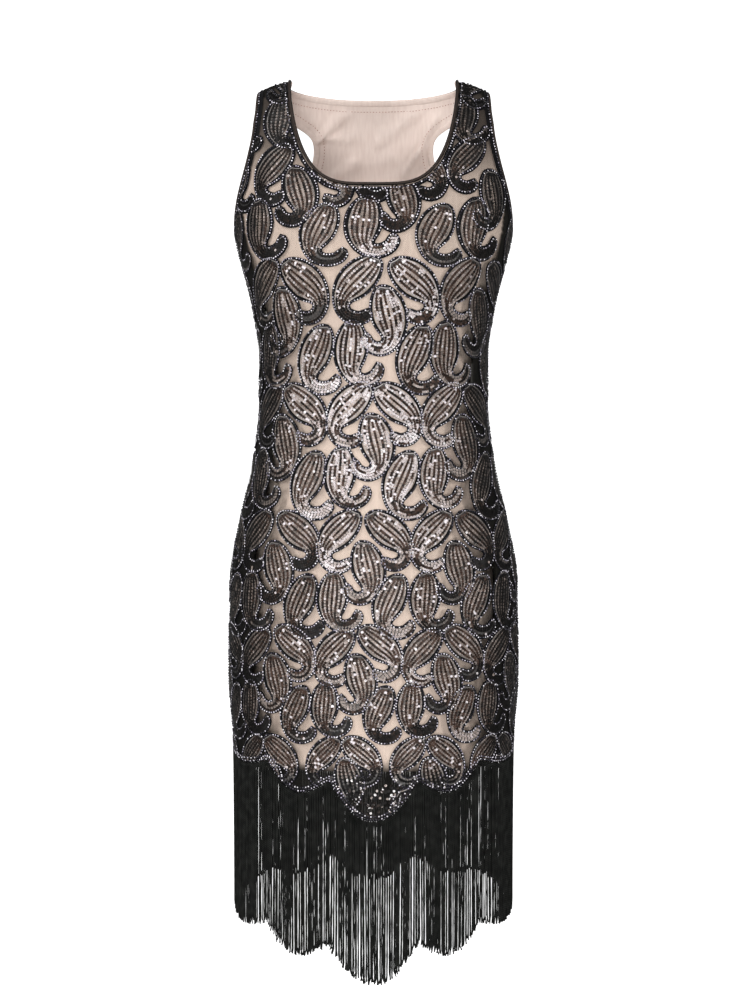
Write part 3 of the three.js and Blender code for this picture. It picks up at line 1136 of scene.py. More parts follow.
@dataclass(frozen=True)
class BindingFinish:
    """Folded bias strip: dark along both its folds and paler and browner between them."""

    girth: float
    dark: Triple = linear(20, 18, 17)
    light: Triple = linear(50, 42, 38)
    weave: float = 0.9 * MM
    twist: float = 0.1

    def material(self) -> bpy.types.Material:
        """Build the material; its band follows the strip's girth.

        Returns:
            The material.
        """
        nodes = NodeSet("folded_binding")
        cut, length, girth = nodes.cut()
        angle = nodes.math("MULTIPLY", girth, FULL_TURN / self.girth)
        front = nodes.math("SINE", nodes.math("SUBTRACT", angle, self.twist))
        twill = nodes.wave(nodes.math("ADD", length, girth), self.weave)
        wear = nodes.sum(twill, 0.05, nodes.noise(cut, 160.0), 0.4)
        tone = nodes.math("ADD", front, wear)
        return nodes.finish(nodes.shader({
            "Base Color": nodes.ramp(tone, ((0.9, self.dark), (1.1, self.light))),
            "Normal": nodes.bump(twill, 0.4, 0.1 * MM), "Roughness": 0.6, "Specular IOR Level": 0.15,
        }))


def dress_in(piece: Piece, material: bpy.types.Material, slot: Slot) -> Piece:
    """Give a piece its finish and its body.

    Args:
        piece: The piece.
        material: Its finish.
        slot: Its slot of the record; not used.

    Returns:
        The same piece.
    """
    piece.data.materials.append(material)
    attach(piece, ROOT)
    LOG.info("%s: %d triangles", piece.name, triangles(piece))
    return piece


@dataclass
class ClothSheet:
    """One cut sheet of cloth on its panel.

    A density and shade band is the height where the net starts to close up and darken, how far it takes, up
    or down, and how far it closes: painted shade over the bodice and on the straps, and a closer net from
    just above the lining's hem down.
    """

    panel: Panel
    name: str
    inset: float
    lining: bool = False
    seam_allowance: float = 11 * MM
    density_and_shade_bands: tuple[Triple, ...] = ((-260, 120, 0.17), (-130, 80, 0.74), (-743, -7, 0.97))

    def build(self, density_and_shade: float = 0.0) -> Piece:
        """Build both halves, joined on the centre line below the neck.

        Args:
            density_and_shade: How much closer and darker the cloth is made at the side seams, straps and
                hem, from 0 to 1.

        Returns:
            The sheet, with its cut laid out in metres in its UV map.
        """
        form, face = self.panel.form, self.panel.face
        turns, heights = self.panel.courses(self.lining)
        arcs = form.arc_of(face, turns, heights)
        from_side = form.half.value(heights) - form.at_turn(face, turns, heights)[0][..., 0]
        seam = np.maximum(self.panel.take_in.value(heights), self.seam_allowance)
        # Closer net near the side seams, standing in for net seen edge-on.
        edge = np.clip((1.15 - from_side / seam) / 0.12, 0, 1)
        density_and_shade_map = density_and_shade * edge**2 * (3 - 2 * edge)
        # Painted shade over the bodice and on the straps, and closer net from just above the lining's hem
        # down.
        for begin, reach, most in self.density_and_shade_bands:
            density_and_shade_map = np.maximum(density_and_shade_map, density_and_shade * most * grown(heights, begin * MM, reach * MM))
        rows, columns = turns.shape
        mesh = bmesh.new()
        layer = mesh.loops.layers.uv.new(CUT)
        density_and_shade_layer = mesh.verts.layers.float.new(SHADE)
        for side in (1, -1):
            point, _ = self.panel.cloth(side * arcs, heights, np.full(arcs.shape, self.inset), self.lining)
            spots = grid(mesh, columns - 1, rows - 1)
            for vertex, (i, j) in spots.items():
                vertex.co = point[j, i]
                vertex[density_and_shade_layer] = density_and_shade_map[j, i]
            faces = {part for vertex in spots for part in vertex.link_faces}
            for loop in (loop for part in faces for loop in part.loops):
                i, j = spots[loop.vert]
                loop[layer].uv = (side * arcs[j, i], heights[j, i])
            if side == face.facing:
                bmesh.ops.reverse_faces(mesh, faces=list(faces))
        bmesh.ops.remove_doubles(mesh, verts=mesh.verts, dist=0.02 * MM)
        return smooth_piece(self.name, mesh)


@dataclass(frozen=True)
class MotifRow:
    """One row of paisleys: its kind, height, first arc, repeat and size, in millimetres.

    A repeat of 0 is a single paisley.
    """

    kind: MotifKind
    height: float
    first: float
    repeat: float
    size: float
    breadth: float = 1.0


@dataclass
class Paisley:
    """The paisley of the net, one unit tall, upright with its curl to the right."""

    breadth: float = 1.0
    hook: float = 1.0
    spine: tuple[Triple, ...] = (
        (0.06, 0.50, 0.0), (0.072, 0.462, 0.105), (0.06, 0.36, 0.19), (0.02, 0.22, 0.245),
        (-0.03, 0.06, 0.255), (-0.07, -0.09, 0.215), (-0.075, -0.22, 0.148), (-0.03, -0.325, 0.105),
        (0.07, -0.385, 0.09), (0.175, -0.375, 0.083), (0.255, -0.32, 0.076), (0.29, -0.24, 0.063),
        (0.287, -0.172, 0.0),
    )
    neck: int = 7
    shrink: float = 0.16

    def __post_init__(self) -> None:
        """Fit the spine to the kind, and find its own normals."""
        rows = np.array(self.spine)
        tail = np.clip((rows[:, 0] - 0.02) * 8, 0, 1) * (rows[:, 1] < -0.1)
        rows[:, 0] *= 1 + (self.hook - 1) * tail
        rows[:, 2] *= 1 + (self.breadth - 1) * (1 - tail)
        self.line, self.width = rows[:, :2], rows[:, 2]
        heading = unit(np.gradient(self.line, axis=0))
        self.normal = np.stack([-heading[:, 1], heading[:, 0]], axis=1)

    def edge(self, share: float) -> Array:
        """A closed curve round the motif, at a share of the way from its spine to its edge.

        Args:
            share: The share.

        Returns:
            The curve's points.
        """
        inner = slice(1, len(self.line) - 1)
        reach = self.normal[inner] * self.width[inner, None] * share
        shrink = (1 - share) * self.shrink
        head = self.line[:1] + [[0.0, -shrink]]
        tail = self.line[-1:] + [[0.02 * (1 - share), -shrink * 0.3]]
        loop = np.vstack([head, self.line[inner] + reach, tail, (self.line[inner] - reach)[::-1]])
        return spline(loop, 8, closed=True)

    def strip(self, share: float, begin: int, end: int) -> Array:
        """A lengthwise line at a share of the half width, between two places of the spine."""
        part = slice(begin, end + 1)
        return spline(self.line[part] + self.normal[part] * self.width[part, None] * share, 8)


@dataclass(frozen=True)
class Cord:
    """A flat cord along a curve of arcs and heights: its width, shade, depth in the cloth and make."""

    curve: Array
    width: float
    shade: float
    inset: float
    closed: bool = True
    steps: int = 44


@dataclass
class BeadWork:
    """All the paisleys, edge beads and sequins on one face of the net.

    The losses are painted shade: the shares of light that sequins lose at the sides, on the straps and
    over the fringe. A dark row breaks into dashes where its own wave passes the first of two levels, less
    the second times the motif's painted sheen. A silver shade is the least, and what its row's wave and
    the motif's painted sheen add as painted highlight.
    """

    panel: Panel
    rows: tuple[MotifRow, ...]
    seed: int
    bead_size: float = 2.6 * MM
    bead_pitch: float = 3.15 * MM
    bead_inset: float = 0.7 * MM
    sequin_size: float = 3.1 * MM
    dark_pitch: float = 2.3 * MM
    silver_pitch: float = 3.15 * MM
    sequin_inset: float = 1.15 * MM
    flat_size: float = 2.8 * MM
    flat_inset: float = 0.3 * MM
    margin: float = 2.2 * MM
    painted_sheen_reach: float = 88 * MM
    painted_sheen_height: float = -350
    painted_sheen_span: float = 150
    losses: Triple = (0.55, 0.35, 0.75)
    dark_loss: float = 1.8
    dashes: tuple[float, float] = (2.2, 1.6)
    silver_shade: Triple = (0.335, 0.1, 0.21)
    over_fringe: float = -758 * MM
    scatter: tuple[float, float, float, int] = (-806, -764, 44, 260)
    dark_shares: tuple[float, ...] = (-0.6, -0.3, 0.0, 0.3, 0.6)
    silver_shares: tuple[float, ...] = (-0.72, -0.45, -0.15, 0.15, 0.45, 0.72)
    tail_shares: tuple[float, ...] = (-0.62, -0.2, 0.2, 0.62)

    def __post_init__(self) -> None:
        """Start the empty lists of beads, sequins and cords."""
        self.random = np.random.default_rng(self.seed)
        self.paisleys = {kind: Paisley(*kind.value[2:]) for kind in MotifKind}
        self.beads: list[Array] = []
        self.edge_beads: list[Array] = []
        self.dark: list[Array] = []
        self.silver: list[Array] = []
        self.flats: list[Array] = []
        self.cords: list[Cord] = []

    def half_arc(self, height: float | Array) -> Array:
        """Arc from the centre line to the side seam, at heights that may lie past the form's ends."""
        return self.panel.form.half_arc(self.panel.face, np.clip(height, *FORM_SPAN))

    def motifs(self) -> list[tuple[MotifRow, float]]:
        """Every motif that touches this face, with its arc.

        Returns:
            Rows and arcs.
        """
        found = []
        for row in self.rows:
            reach = float(self.half_arc(row.height * MM)) / MM + 20
            arcs = [row.first]
            if row.repeat:
                first = row.first - row.repeat * math.floor((row.first + reach) / row.repeat)
                arcs = np.arange(first, reach, row.repeat)
            found.extend((row, float(arc) * MM) for arc in arcs)
        return found

    def lay(self, curve: Array, row: MotifRow, arc: float) -> Array:
        """Place a motif's own curve on the cloth, as arcs and heights.

        Args:
            curve: The motif's curve.
            row: Its row.
            arc: Where in the row it lies.

        Returns:
            Arcs and heights.
        """
        cosine, sine = math.cos(row.kind.lean), math.sin(row.kind.lean)
        turn = np.array([[cosine, sine], [-sine, cosine]])
        return (curve * [row.kind.curl * row.breadth, 1]) @ turn * row.size * MM + [arc, row.height * MM]

    def painted_sheen(self, row: MotifRow, arc: float) -> float:
        """A motif's painted sheen from 0 to 1, for the lamps' reflection: most at the middle of the dress,
        least at its sides.

        Args:
            row: The motif's row.
            arc: Where in the row it lies.

        Returns:
            The share.
        """
        across = math.exp(-((arc / self.painted_sheen_reach) ** 4))
        level = 0.35 + 0.65 * math.exp(-(((row.height - self.painted_sheen_height) / self.painted_sheen_span) ** 4))
        low = 0.5 if row.height < -750 else 0.0
        value = across * max(level, low) * (1.0 if row.height < -200 else 0.3)
        return float(np.clip(value + self.random.normal(0, 0.12), 0, 1))

    def painted_shade_factor(self, spots: Array) -> Array:
        """How much light a sequin keeps under painted shade: less at the sides, on the straps and over the
        fringe.

        Args:
            spots: Arcs and heights.

        Returns:
            Shares of the light.
        """
        arc, height = spots[:, 0], spots[:, 1]
        side = 1 - self.losses[0] * grown(np.abs(arc) / self.half_arc(height), 0.5, 0.2)
        strap = 1 - self.losses[1] * grown(height, -150 * MM, 80 * MM)
        return side * strap * (1 - self.losses[2] * grown(height, -745 * MM, -16 * MM))

    def bead_row(self, curve: Array, closed: bool = True) -> Array:
        """A row of beads along a curve of arcs and heights: places and headings.

        Args:
            curve: The curve.
            closed: Whether it returns to its start.

        Returns:
            Arcs, heights and headings.
        """
        if closed:
            curve = np.vstack([curve, curve[:1]])
        count = max(2, int(round(length_of(curve) / self.bead_pitch)) + 1)
        spots = along(curve, count)
        ahead = unit(np.gradient(spots, axis=0))
        if closed:
            spots, ahead = spots[:-1], ahead[:-1]
        return np.hstack([spots, ahead])

    def add_motif(self, row: MotifRow, arc: float) -> None:
        """One paisley: beaded edge, its cords, its lengthwise rows of sequins and its filled tail.

        Args:
            row: The motif's row.
            arc: Where in the row it lies.
        """
        rng, paisley = self.random, self.paisleys[row.kind]
        painted_sheen = self.painted_sheen(row, arc)
        self.beads.append(self.bead_row(self.lay(paisley.edge(1.0), row, arc)))
        rim = 5.6 if row.height > -170 else 3.8
        # A mid-tone fill cord stands in for the shadow between the sequins and for their thread and net,
        # with painted shade at the sides and on the straps; the narrow grey cord brightens with the painted
        # sheen.
        thread_and_shadow_fill = 0.34 * self.painted_shade_factor(np.array([[arc, row.height * MM]]))[0]
        for share, width, shade, inset in (
            (0.95, rim, 0.0, 1.45), (0.42, 7.0, thread_and_shadow_fill, 1.6), (0.76, 0.9, 0.46 + 0.3 * painted_sheen, 1.0),
        ):
            curve = self.lay(paisley.edge(share), row, arc)
            self.cords.append(Cord(curve, width * MM, shade, inset * MM))
        for share in self.dark_shares:
            curve = self.lay(paisley.strip(share, 1, paisley.neck), row, arc)
            self.add_sequins(curve, 0.04 + 0.05 * abs(share), 1 - 0.36 * abs(share), painted_sheen, dark=True)
        for share in self.silver_shares:
            curve = self.lay(paisley.strip(share, 1, paisley.neck), row, arc)
            self.add_sequins(curve, 0.1, 0.96, painted_sheen, dark=False)
        # Painted sheen of the tail: where it is weak, more tail sequins are dark ones and all keep less
        # light, a painted shade.
        tail = float(np.clip(painted_sheen + rng.normal(0, 0.3), 0, 1))
        for share in self.tail_shares:
            curve = self.lay(paisley.strip(share, paisley.neck - 1, len(paisley.line) - 2), row, arc)
            dark = rng.random() < (1.0 if abs(share) > 0.5 else 0.8) * (1 - 0.6 * tail)
            self.add_sequins(curve, 0.05, 1.0, 1.5 * tail, dark, 0.35 + 0.65 * tail)
        # More flat sequins, each with a painted ring highlight, where the painted sheen is strong.
        for _ in range(int(rng.integers(0, 3 + int(5 * painted_sheen)))):
            share, place = rng.uniform(-0.6, 0.6), int(rng.integers(2, 10))
            self.flats.append(self.lay(paisley.strip(share, place, place + 1)[:1], row, arc))

    def add_sequins(
        self, curve: Array, begin: float, end: float, painted_sheen: float, dark: bool, level: float = 1.0
    ) -> None:
        """Overlapping sequins along a curve.

        Args:
            curve: Arcs and heights.
            begin: Share of the curve where they start.
            end: Share where they end.
            painted_sheen: The motif's painted sheen.
            dark: Whether the row is a dark one, which a motif of strong painted sheen breaks into dashes.
            level: Share of their light that the sequins keep, as painted shade.
        """
        rng = self.random
        pitch = self.dark_pitch if dark else self.silver_pitch
        count = max(2, int(length_of(curve) * (end - begin) / pitch))
        spots = along(curve, count, begin, end)
        rows = np.hstack([spots, unit(np.gradient(spots, axis=0))])
        run = np.arange(count) * pitch / MM
        wave = np.sin(run * rng.uniform(0.12, 0.26) + rng.uniform(0, 6.3)) + rng.normal(0, 0.1, count)
        if dark:
            broken = 0.9 * wave + rng.normal(0, 0.5) > self.dashes[0] - self.dashes[1] * painted_sheen
            # Random tone, painted white glints on a few, and painted shade at the sides, on the straps and
            # over the fringe.
            shade = rng.uniform(0.2, 0.7, count) + 0.9 * (rng.random(count) < 0.03 + 0.05 * painted_sheen)
            shade = np.minimum(shade, 1) * self.painted_shade_factor(rows[:, :2]) ** self.dark_loss * level
            self.dark.append(np.hstack([rows, shade[:, None]])[~broken])
            rows, wave = rows[broken], wave[broken]
        # Painted glints on a few sequins, and a painted sheen from the row's wave and the motif's sheen.
        glint = 0.3 * (rng.random(len(rows)) < 0.02 + 0.05 * painted_sheen)
        least, waving, painted_sheen_weight = self.silver_shade
        shade = least + waving * wave + painted_sheen_weight * painted_sheen + glint + rng.normal(0, 0.06, len(rows))
        shade = np.clip(shade, 0.05, 1)
        # A painted highlight on some sequins over the fringe; the rest take painted shade from the level and
        # the place.
        bright = (rows[:, 1] < self.over_fringe) & (rng.random(len(rows)) < 0.2)
        shade = np.where(bright, rng.uniform(0.7, 1, len(rows)), shade * level * self.painted_shade_factor(rows[:, :2]))
        self.silver.append(np.hstack([rows, shade[:, None]]))

    def add_scatter(self, low: float, high: float, reach: float, count: int) -> None:
        """Loose sequins of both kinds over the lowest part of the face.

        Args:
            low: Lowest height, in millimetres.
            high: Highest height.
            reach: Farthest arc to either side.
            count: How many dark ones are tried; silver ones are a quarter as many.
        """
        rng = self.random
        # Silver shades here reach the ramp's white: painted ring highlights on some.
        for kind, size, shades in ((self.dark, count, (0.0, 0.3)), (self.silver, count // 4, (0.1, 1.1))):
            arc = rng.uniform(-reach, reach, size) * MM
            height = rng.uniform(low, high, size) * MM
            turn = rng.uniform(0, FULL_TURN, size)
            shade = rng.uniform(*shades, size)
            kind.append(np.stack([arc, height, np.cos(turn), np.sin(turn), shade], axis=1))

    def inside(self, spots: Array) -> Array:
        """Which arcs and heights lie on this face, clear of its edges."""
        on_face = np.abs(spots[:, 0]) < self.half_arc(spots[:, 1])
        return on_face & (self.panel.clearance(spots[:, 0], spots[:, 1]) > self.margin)

    def directions(self, spots: Array, ahead: Array, inset: Array) -> tuple[Array, ...]:
        """Points, normals and headings in space of arcs, heights and headings on the cloth.

        Args:
            spots: Arcs and heights.
            ahead: Headings on the cloth.
            inset: Depths inside the form.

        Returns:
            Points, normals and headings.
        """
        point, normal = self.panel.cloth(spots[:, 0], spots[:, 1], inset)
        level, up = self.panel.headings(normal)
        return point, normal, level * ahead[:, :1] + up * ahead[:, 1:2]

    def build_beads(self) -> Piece:
        """Round beads of every row.

        Returns:
            The piece.
        """
        rows = np.vstack(self.beads)
        rows = np.vstack([rows[self.inside(rows[:, :2])]] + self.edge_beads)
        rng, count = self.random, len(rows)
        inset = self.bead_inset + rng.normal(0, 0.1 * MM, count)
        point, normal, ahead = self.directions(rows[:, :2], rows[:, 2:4], inset)
        tilted = unit(normal + rng.normal(0, 0.12, (count, 3)))
        size = self.bead_size * rng.uniform(0.88, 1.08, (count, 1)) * np.array([[0.92, 1.0, 0.92]])
        # Painted shade at the sides, on the straps and over the fringe: more beads there take the dark tone;
        # the rest get a painted highlight.
        light = self.painted_shade_factor(rows[:, :2])
        dark_tone_and_shade = rng.random(count) < 0.28 + 0.4 * (1 - light)
        shade = np.where(dark_tone_and_shade, rng.uniform(0.02, 0.4, count), rng.uniform(0.62, 1.1, count))
        stamp = Stamp.bead()
        placed = stamp.placed(point, ahead, tilted, size)
        return joined_mesh(f"seed_beads_{self.panel.face.value}", [(stamp, placed, shade)])

    def scales(
        self, rows: Array, stamp: Stamp, breadth: float, tilt: float, lift: float
    ) -> tuple[Stamp, Array, Array]:
        """Sequins that lean on each other like scales.

        Args:
            rows: Arcs, heights, headings and shades.
            stamp: The sequin.
            breadth: Its size across the row, as a share of its size along it.
            tilt: How far each leans on the next one.
            lift: How far out of the cloth they lie.

        Returns:
            The stamp, its copies and their shades.
        """
        rng = self.random
        rows = rows[self.inside(rows[:, :2])]
        count = len(rows)
        inset = self.sequin_inset - lift + rng.normal(0, 0.12 * MM, count)
        point, normal, ahead = self.directions(rows[:, :2], rows[:, 2:4], inset)
        side = np.cross(normal, ahead)
        lean, roll = rng.normal(tilt, 0.07, (count, 1)), rng.normal(0, 0.07, (count, 1))
        tilted = unit(normal + ahead * lean + side * roll)
        scale = self.sequin_size * rng.uniform(0.92, 1.08, (count, 1)) * np.array([[1.0, breadth, 1.0]])
        return stamp, stamp.placed(point, ahead, tilted, scale), rows[:, 4]

    def build_dark(self) -> Piece:
        """Flat smoky sequins of the dark rows."""
        part = self.scales(np.vstack(self.dark), Stamp.sequin(), 1.05, 0.14, 0.6 * MM)
        return joined_mesh(f"smoky_sequins_{self.panel.face.value}", [part], smooth=False)

    def build_silver(self) -> Piece:
        """Dished silvery sequins between the dark rows, and the few that lie flat on top of them.

        Returns:
            The piece.
        """
        rng = self.random
        dished = Stamp.sequin(dish=0.12)
        parts = [self.scales(np.vstack(self.silver), dished, 0.9, 0.05, 0.05 * MM)]
        flats = np.vstack(self.flats)
        flats = flats[self.inside(flats[:, :2])]
        count = len(flats)
        turn = rng.uniform(0, FULL_TURN, count)
        heading = np.stack([np.cos(turn), np.sin(turn)], axis=1)
        point, normal, ahead = self.directions(flats, heading, np.full(count, self.flat_inset))
        tilted = unit(normal + rng.normal(0, 0.08, (count, 3)))
        disc = Stamp.sequin(8, 0.03)
        placed = disc.placed(point, ahead, tilted, np.full((count, 3), self.flat_size))
        # Painted ring highlights on the flat sequins, with painted shade at the sides, on the straps and
        # over the fringe.
        parts.append((disc, placed, rng.uniform(0.5, 0.9, count) * self.painted_shade_factor(flats)))
        return joined_mesh(f"silver_sequins_{self.panel.face.value}", parts, smooth=False)

    def build_cords(self) -> Piece:
        """Flat cords under and beside the beads.

        Returns:
            The piece.
        """
        parts = []
        for cord in self.cords:
            curve = np.vstack([cord.curve, cord.curve[:1]]) if cord.closed else cord.curve
            stamp = Stamp.strip(cord.steps, 1)
            column = np.rint((stamp.points[:, 0] + 1) / 2 * cord.steps).astype(int)
            spots = along(curve, cord.steps + 1)
            ahead = unit(np.gradient(spots, axis=0))
            if cord.closed:
                ahead[0] = ahead[-1] = unit(ahead[0] + ahead[-1])
            keep = self.inside(spots) if cord.closed else np.ones(len(spots), bool)
            faces = [face for face in stamp.faces if keep[column[face]].all()]
            if not faces:
                continue
            spots = np.stack([spots[:, 0], np.clip(spots[:, 1], *FORM_SPAN)], axis=1)
            point, normal, heading = self.directions(spots, ahead, np.full(len(spots), cord.inset))
            side = np.cross(normal, heading)
            raised = point[column] + side[column] * (stamp.points[:, 1] * cord.width / 2)[:, None]
            parts.append((Stamp(stamp.points, faces, np.ones(len(raised))), raised[None], [cord.shade]))
        return self._without_loose(joined_mesh(f"flat_cords_{self.panel.face.value}", parts))

    @staticmethod
    def _without_loose(piece: Piece) -> Piece:
        """Drop the points that no face uses.

        Args:
            piece: The piece.

        Returns:
            The same piece.
        """
        mesh = bmesh.new()
        mesh.from_mesh(piece.data)
        loose = [vertex for vertex in mesh.verts if not vertex.link_faces]
        bmesh.ops.delete(mesh, geom=loose, context="VERTS")
        mesh.to_mesh(piece.data)
        mesh.free()
        return piece

    def add_edges(self) -> None:
        """Rows of beads and dark cords along the neck, the armholes and the hem."""
        layout = {"neck": ((3.8,), 4.2, 4.6), "outer": ((1.8,), 3.4, 6.4), "hem": ((1.8, 4.9), 3.2, 6.2)}
        for name, (offsets, middle, width) in layout.items():
            for side in (1, -1):
                for offset in offsets:
                    line = self.panel.beside(name, side, offset)
                    self.edge_beads.append(self.bead_row(line, closed=False))
                line = self.panel.beside(name, side, middle)
                self.cords.append(Cord(line, width * MM, 0.0, 1.4 * MM, closed=False, steps=120))

    def build(self, *finishes: bpy.types.Material) -> list[Piece]:
        """Build everything on this face.

        Args:
            finishes: Those of the beads, the dark sequins, the silvery sequins and the cords.

        Returns:
            The finished pieces.
        """
        for row, arc in self.motifs():
            self.add_motif(row, arc)
        if self.panel.face is Face.FRONT:
            self.add_scatter(*self.scatter)
        self.add_edges()
        makers = (self.build_beads, self.build_dark, self.build_silver, self.build_cords)
        return [dress_in(make(), finish, Slot.BEADED_NET) for make, finish in zip(makers, finishes)]


@dataclass
class Roll:
    """A rolled strip of cloth along an opening's edge: a binding, or the lining's own turned edge.

    The sizes go from inside the cloth's edge to past it, and from the form's outside to its inside.
    """

    name: str
    middle: Triple
    across: tuple[float, float]
    through: tuple[float, float]
    closed: bool = True
    sides: int = 12
    roundness: float = 0.8

    def build(self, point: Array, normal: Array) -> Piece:
        """Sweep the rounded strip along the edge.

        Args:
            point: Places on the form along the edge, in order, without a repeated last one.
            normal: Outward normals there.

        Returns:
            The strip, with its length and girth in metres in its UV map.
        """
        if self.closed:
            ahead = unit(np.roll(point, -1, axis=0) - np.roll(point, 1, axis=0))
        else:
            ahead = unit(np.gradient(point, axis=0))
        away = unit(np.cross(ahead, normal))
        towards = np.array(self.middle) - point
        away = np.where((away * towards).sum(1, keepdims=True) < 0, -away, away)
        spans = len(point) if self.closed else len(point) - 1
        run = np.concatenate([[0.0], np.cumsum(np.linalg.norm(np.diff(point, axis=0), axis=1))])
        run = np.append(run, run[-1] + run[1]) if self.closed else run
        across, through = np.array(self.across), np.array(self.through)
        reach = np.array([(across[1] - across[0]) / 2, (through[0] - through[1]) / 2])
        mesh = bmesh.new()
        layer = mesh.loops.layers.uv.new(CUT)
        places = {}
        for vertex, (i, _) in grid(mesh, spans, self.sides).items():
            angle = (vertex.co.y + 1) * math.pi
            places[vertex] = (run[i], angle * float(reach.mean()))
            step = signed_power(np.array([math.cos(angle), math.sin(angle)]), self.roundness) * reach
            step = step + (across.mean(), through.mean())
            i %= len(point)
            vertex.co = point[i] + away[i] * step[0] + normal[i] * step[1]
        for loop in (loop for face in mesh.faces for loop in face.loops):
            loop[layer].uv = places[loop.vert]
        bmesh.ops.remove_doubles(mesh, verts=mesh.verts, dist=0.01 * MM)
        if not self.closed:
            bmesh.ops.holes_fill(mesh, edges=mesh.edges, sides=0)
        bmesh.ops.recalc_face_normals(mesh, faces=mesh.faces)
        return smooth_piece(self.name, mesh)


@dataclass
class Fringe:
    """One face's fringe: hundreds of loose strings under a ribbed heading.

    The strings hang in pairs, as the two legs of one loop do. The swings are how far a string's slow sway,
    its kinks, its ripples and its knots turn between its top and its end, in radians.
    """

    panel: Panel
    seed: int
    drop: float = 176 * MM
    pitch: float = 1.3 * MM
    radius: float = 0.69 * MM
    segments: int = 30
    sides: int = 4
    gap: float = 0.3 * MM
    level: float = -740 * MM
    lowest: float = -984.5 * MM
    drift: float = 0.24 * MM
    swings: tuple[float, float, float, float] = (5.0, 31.0, 73.0, 97.0)

    def build(self) -> tuple[Piece, Piece]:
        """Build the strings and their heading.

        Returns:
            The strings' piece and the heading's piece.
        """
        rng = np.random.default_rng(self.seed)
        form, face = self.panel.form, self.panel.face
        slow, kinked, rippled, knotted = self.swings
        reach = self._reach()
        count = int(2 * reach / self.pitch)
        arc = (np.arange(count) + 0.5) / count * 2 * reach - reach
        arc = arc + rng.normal(0, 0.08 * self.pitch, count) + 0.14 * self.pitch * (-1) ** np.arange(count)
        top = self._hem(arc) - self.gap
        drop = self.drop - np.abs(rng.normal(0, 2.4 * MM, count))
        t = np.linspace(0, 1, self.segments + 1)
        loose = np.minimum(4 * t, 1)
        wave = rng.uniform(0, FULL_TURN, (count, 3))
        sway = rng.normal(0, self.drift, (count, 3))
        shift = self._bunch(rng, arc)[:, None] * t**1.3 + sway[:, :1] * np.sin(slow * t + wave[:, :1]) * t
        shift = shift + 0.35 * sway[:, 1:2] * np.sin(kinked * t + wave[:, 1:2]) * loose
        shift = shift + 0.04 * MM * np.sin(rippled * t + wave[:, 2:]) * loose
        shift[:, -1] += rng.normal(0, 1.1 * MM, count)
        level = np.clip(top[:, None] - drop[:, None] * t, self.lowest, None)
        limit = form.half_arc(face, level) - 0.8 * MM
        spot = np.clip(arc[:, None] + shift, -limit, limit)
        inset = 1.15 * MM + 0.5 * sway[:, 2:] * np.sin(slow * t + wave[:, 2:])
        inset = np.clip(inset + rng.normal(0, 0.3 * MM, (count, 1)), 0.75 * MM, 2.4 * MM)
        point, normal = form.at_turn(face, form.turn_of(face, spot, level), level)
        point = point - normal * inset[..., None]
        side, _ = self.panel.headings(normal)
        stamp = Stamp.strip(self.segments, self.sides)
        row = np.rint((stamp.points[:, 0] + 1) / 2 * self.segments).astype(int)
        angle = (stamp.points[:, 1] + 1) * math.pi
        taper = 1.14 - 0.11 * t[row] + 0.2 * t[row] ** 16
        knots = 1 + 0.08 * np.sin(knotted * t[row] + wave[:, :1])
        full = 1 - 0.12 * grown(np.abs(arc) / reach, 0.5, 0.3)
        thick = self.radius * taper * knots * rng.uniform(0.88, 1.1, (count, 1)) * full[:, None]
        ring = side[:, row] * np.cos(angle)[None, :, None]
        ring = ring - face.facing * normal[:, row] * np.sin(angle)[None, :, None]
        placed = point[:, row] + ring * thick[..., None]
        strings = joined_mesh(f"fringe_strings_{face.value}", [(stamp, placed, rng.uniform(0, 1, count))])
        self._weld(strings)
        return strings, self._heading(rng)

    def _reach(self) -> float:
        """Arc from the centre line to the side seam at the fringe's own level."""
        return float(self.panel.form.half_arc(self.panel.face, np.array(self.level)))

    def _hem(self, arc: Array) -> Array:
        """Height of the net's hem over each arc of the fringe's own level."""
        turn = self.panel.form.turn_of(self.panel.face, arc, np.full(len(arc), self.level))
        return self.panel.hem(np.abs(turn) / RIGHT_ANGLE)

    def _bunch(self, rng: np.random.Generator, arc: Array) -> Array:
        """How far each string's end drifts, so that neighbours close up in places and part in others.

        Args:
            rng: The face's random numbers.
            arc: Where each string hangs.

        Returns:
            The drifts.
        """
        drift = rng.normal(0, self.drift, len(arc))
        for length, size in ((67.0, 0.7), (29.0, 0.35)):
            drift += size * MM * np.sin(arc / (length * MM) * FULL_TURN + rng.uniform(0, 6.3))
        return drift

    @staticmethod
    def _weld(piece: Piece) -> None:
        """Close each string's seam and turn its faces outwards.

        Args:
            piece: The strings.
        """
        mesh = bmesh.new()
        mesh.from_mesh(piece.data)
        bmesh.ops.remove_doubles(mesh, verts=mesh.verts, dist=0.004 * MM)
        bmesh.ops.recalc_face_normals(mesh, faces=mesh.faces)
        mesh.to_mesh(piece.data)
        mesh.free()

    def _heading(self, rng: np.random.Generator) -> Piece:
        """Short close ribs under the hem, where the strings are looped over their tape.

        Args:
            rng: The face's random numbers.

        Returns:
            The heading's piece.
        """
        form, face = self.panel.form, self.panel.face
        reach = self._reach() - 1.0 * MM
        count = int(2 * reach / (1.6 * MM))
        arc = np.linspace(-reach, reach, count)
        height = self._hem(arc) - 3.4 * MM
        point, normal = form.at_turn(face, form.turn_of(face, arc, height), height)
        point = point - normal * 0.75 * MM
        _, up = self.panel.headings(normal)
        size = np.tile([6.6 * MM, 1.25 * MM, 1.5 * MM], (count, 1)) * rng.uniform(0.92, 1.08, (count, 1))
        stamp = Stamp.bead()
        part = (stamp, stamp.placed(point, up, normal, size), rng.uniform(0, 1, count))
        return joined_mesh(f"fringe_heading_{face.value}", [part])


def motif_rows(*rows: tuple) -> tuple[MotifRow, ...]:
    """Rows of paisleys from their plain values."""
    return tuple(MotifRow(*row) for row in rows)


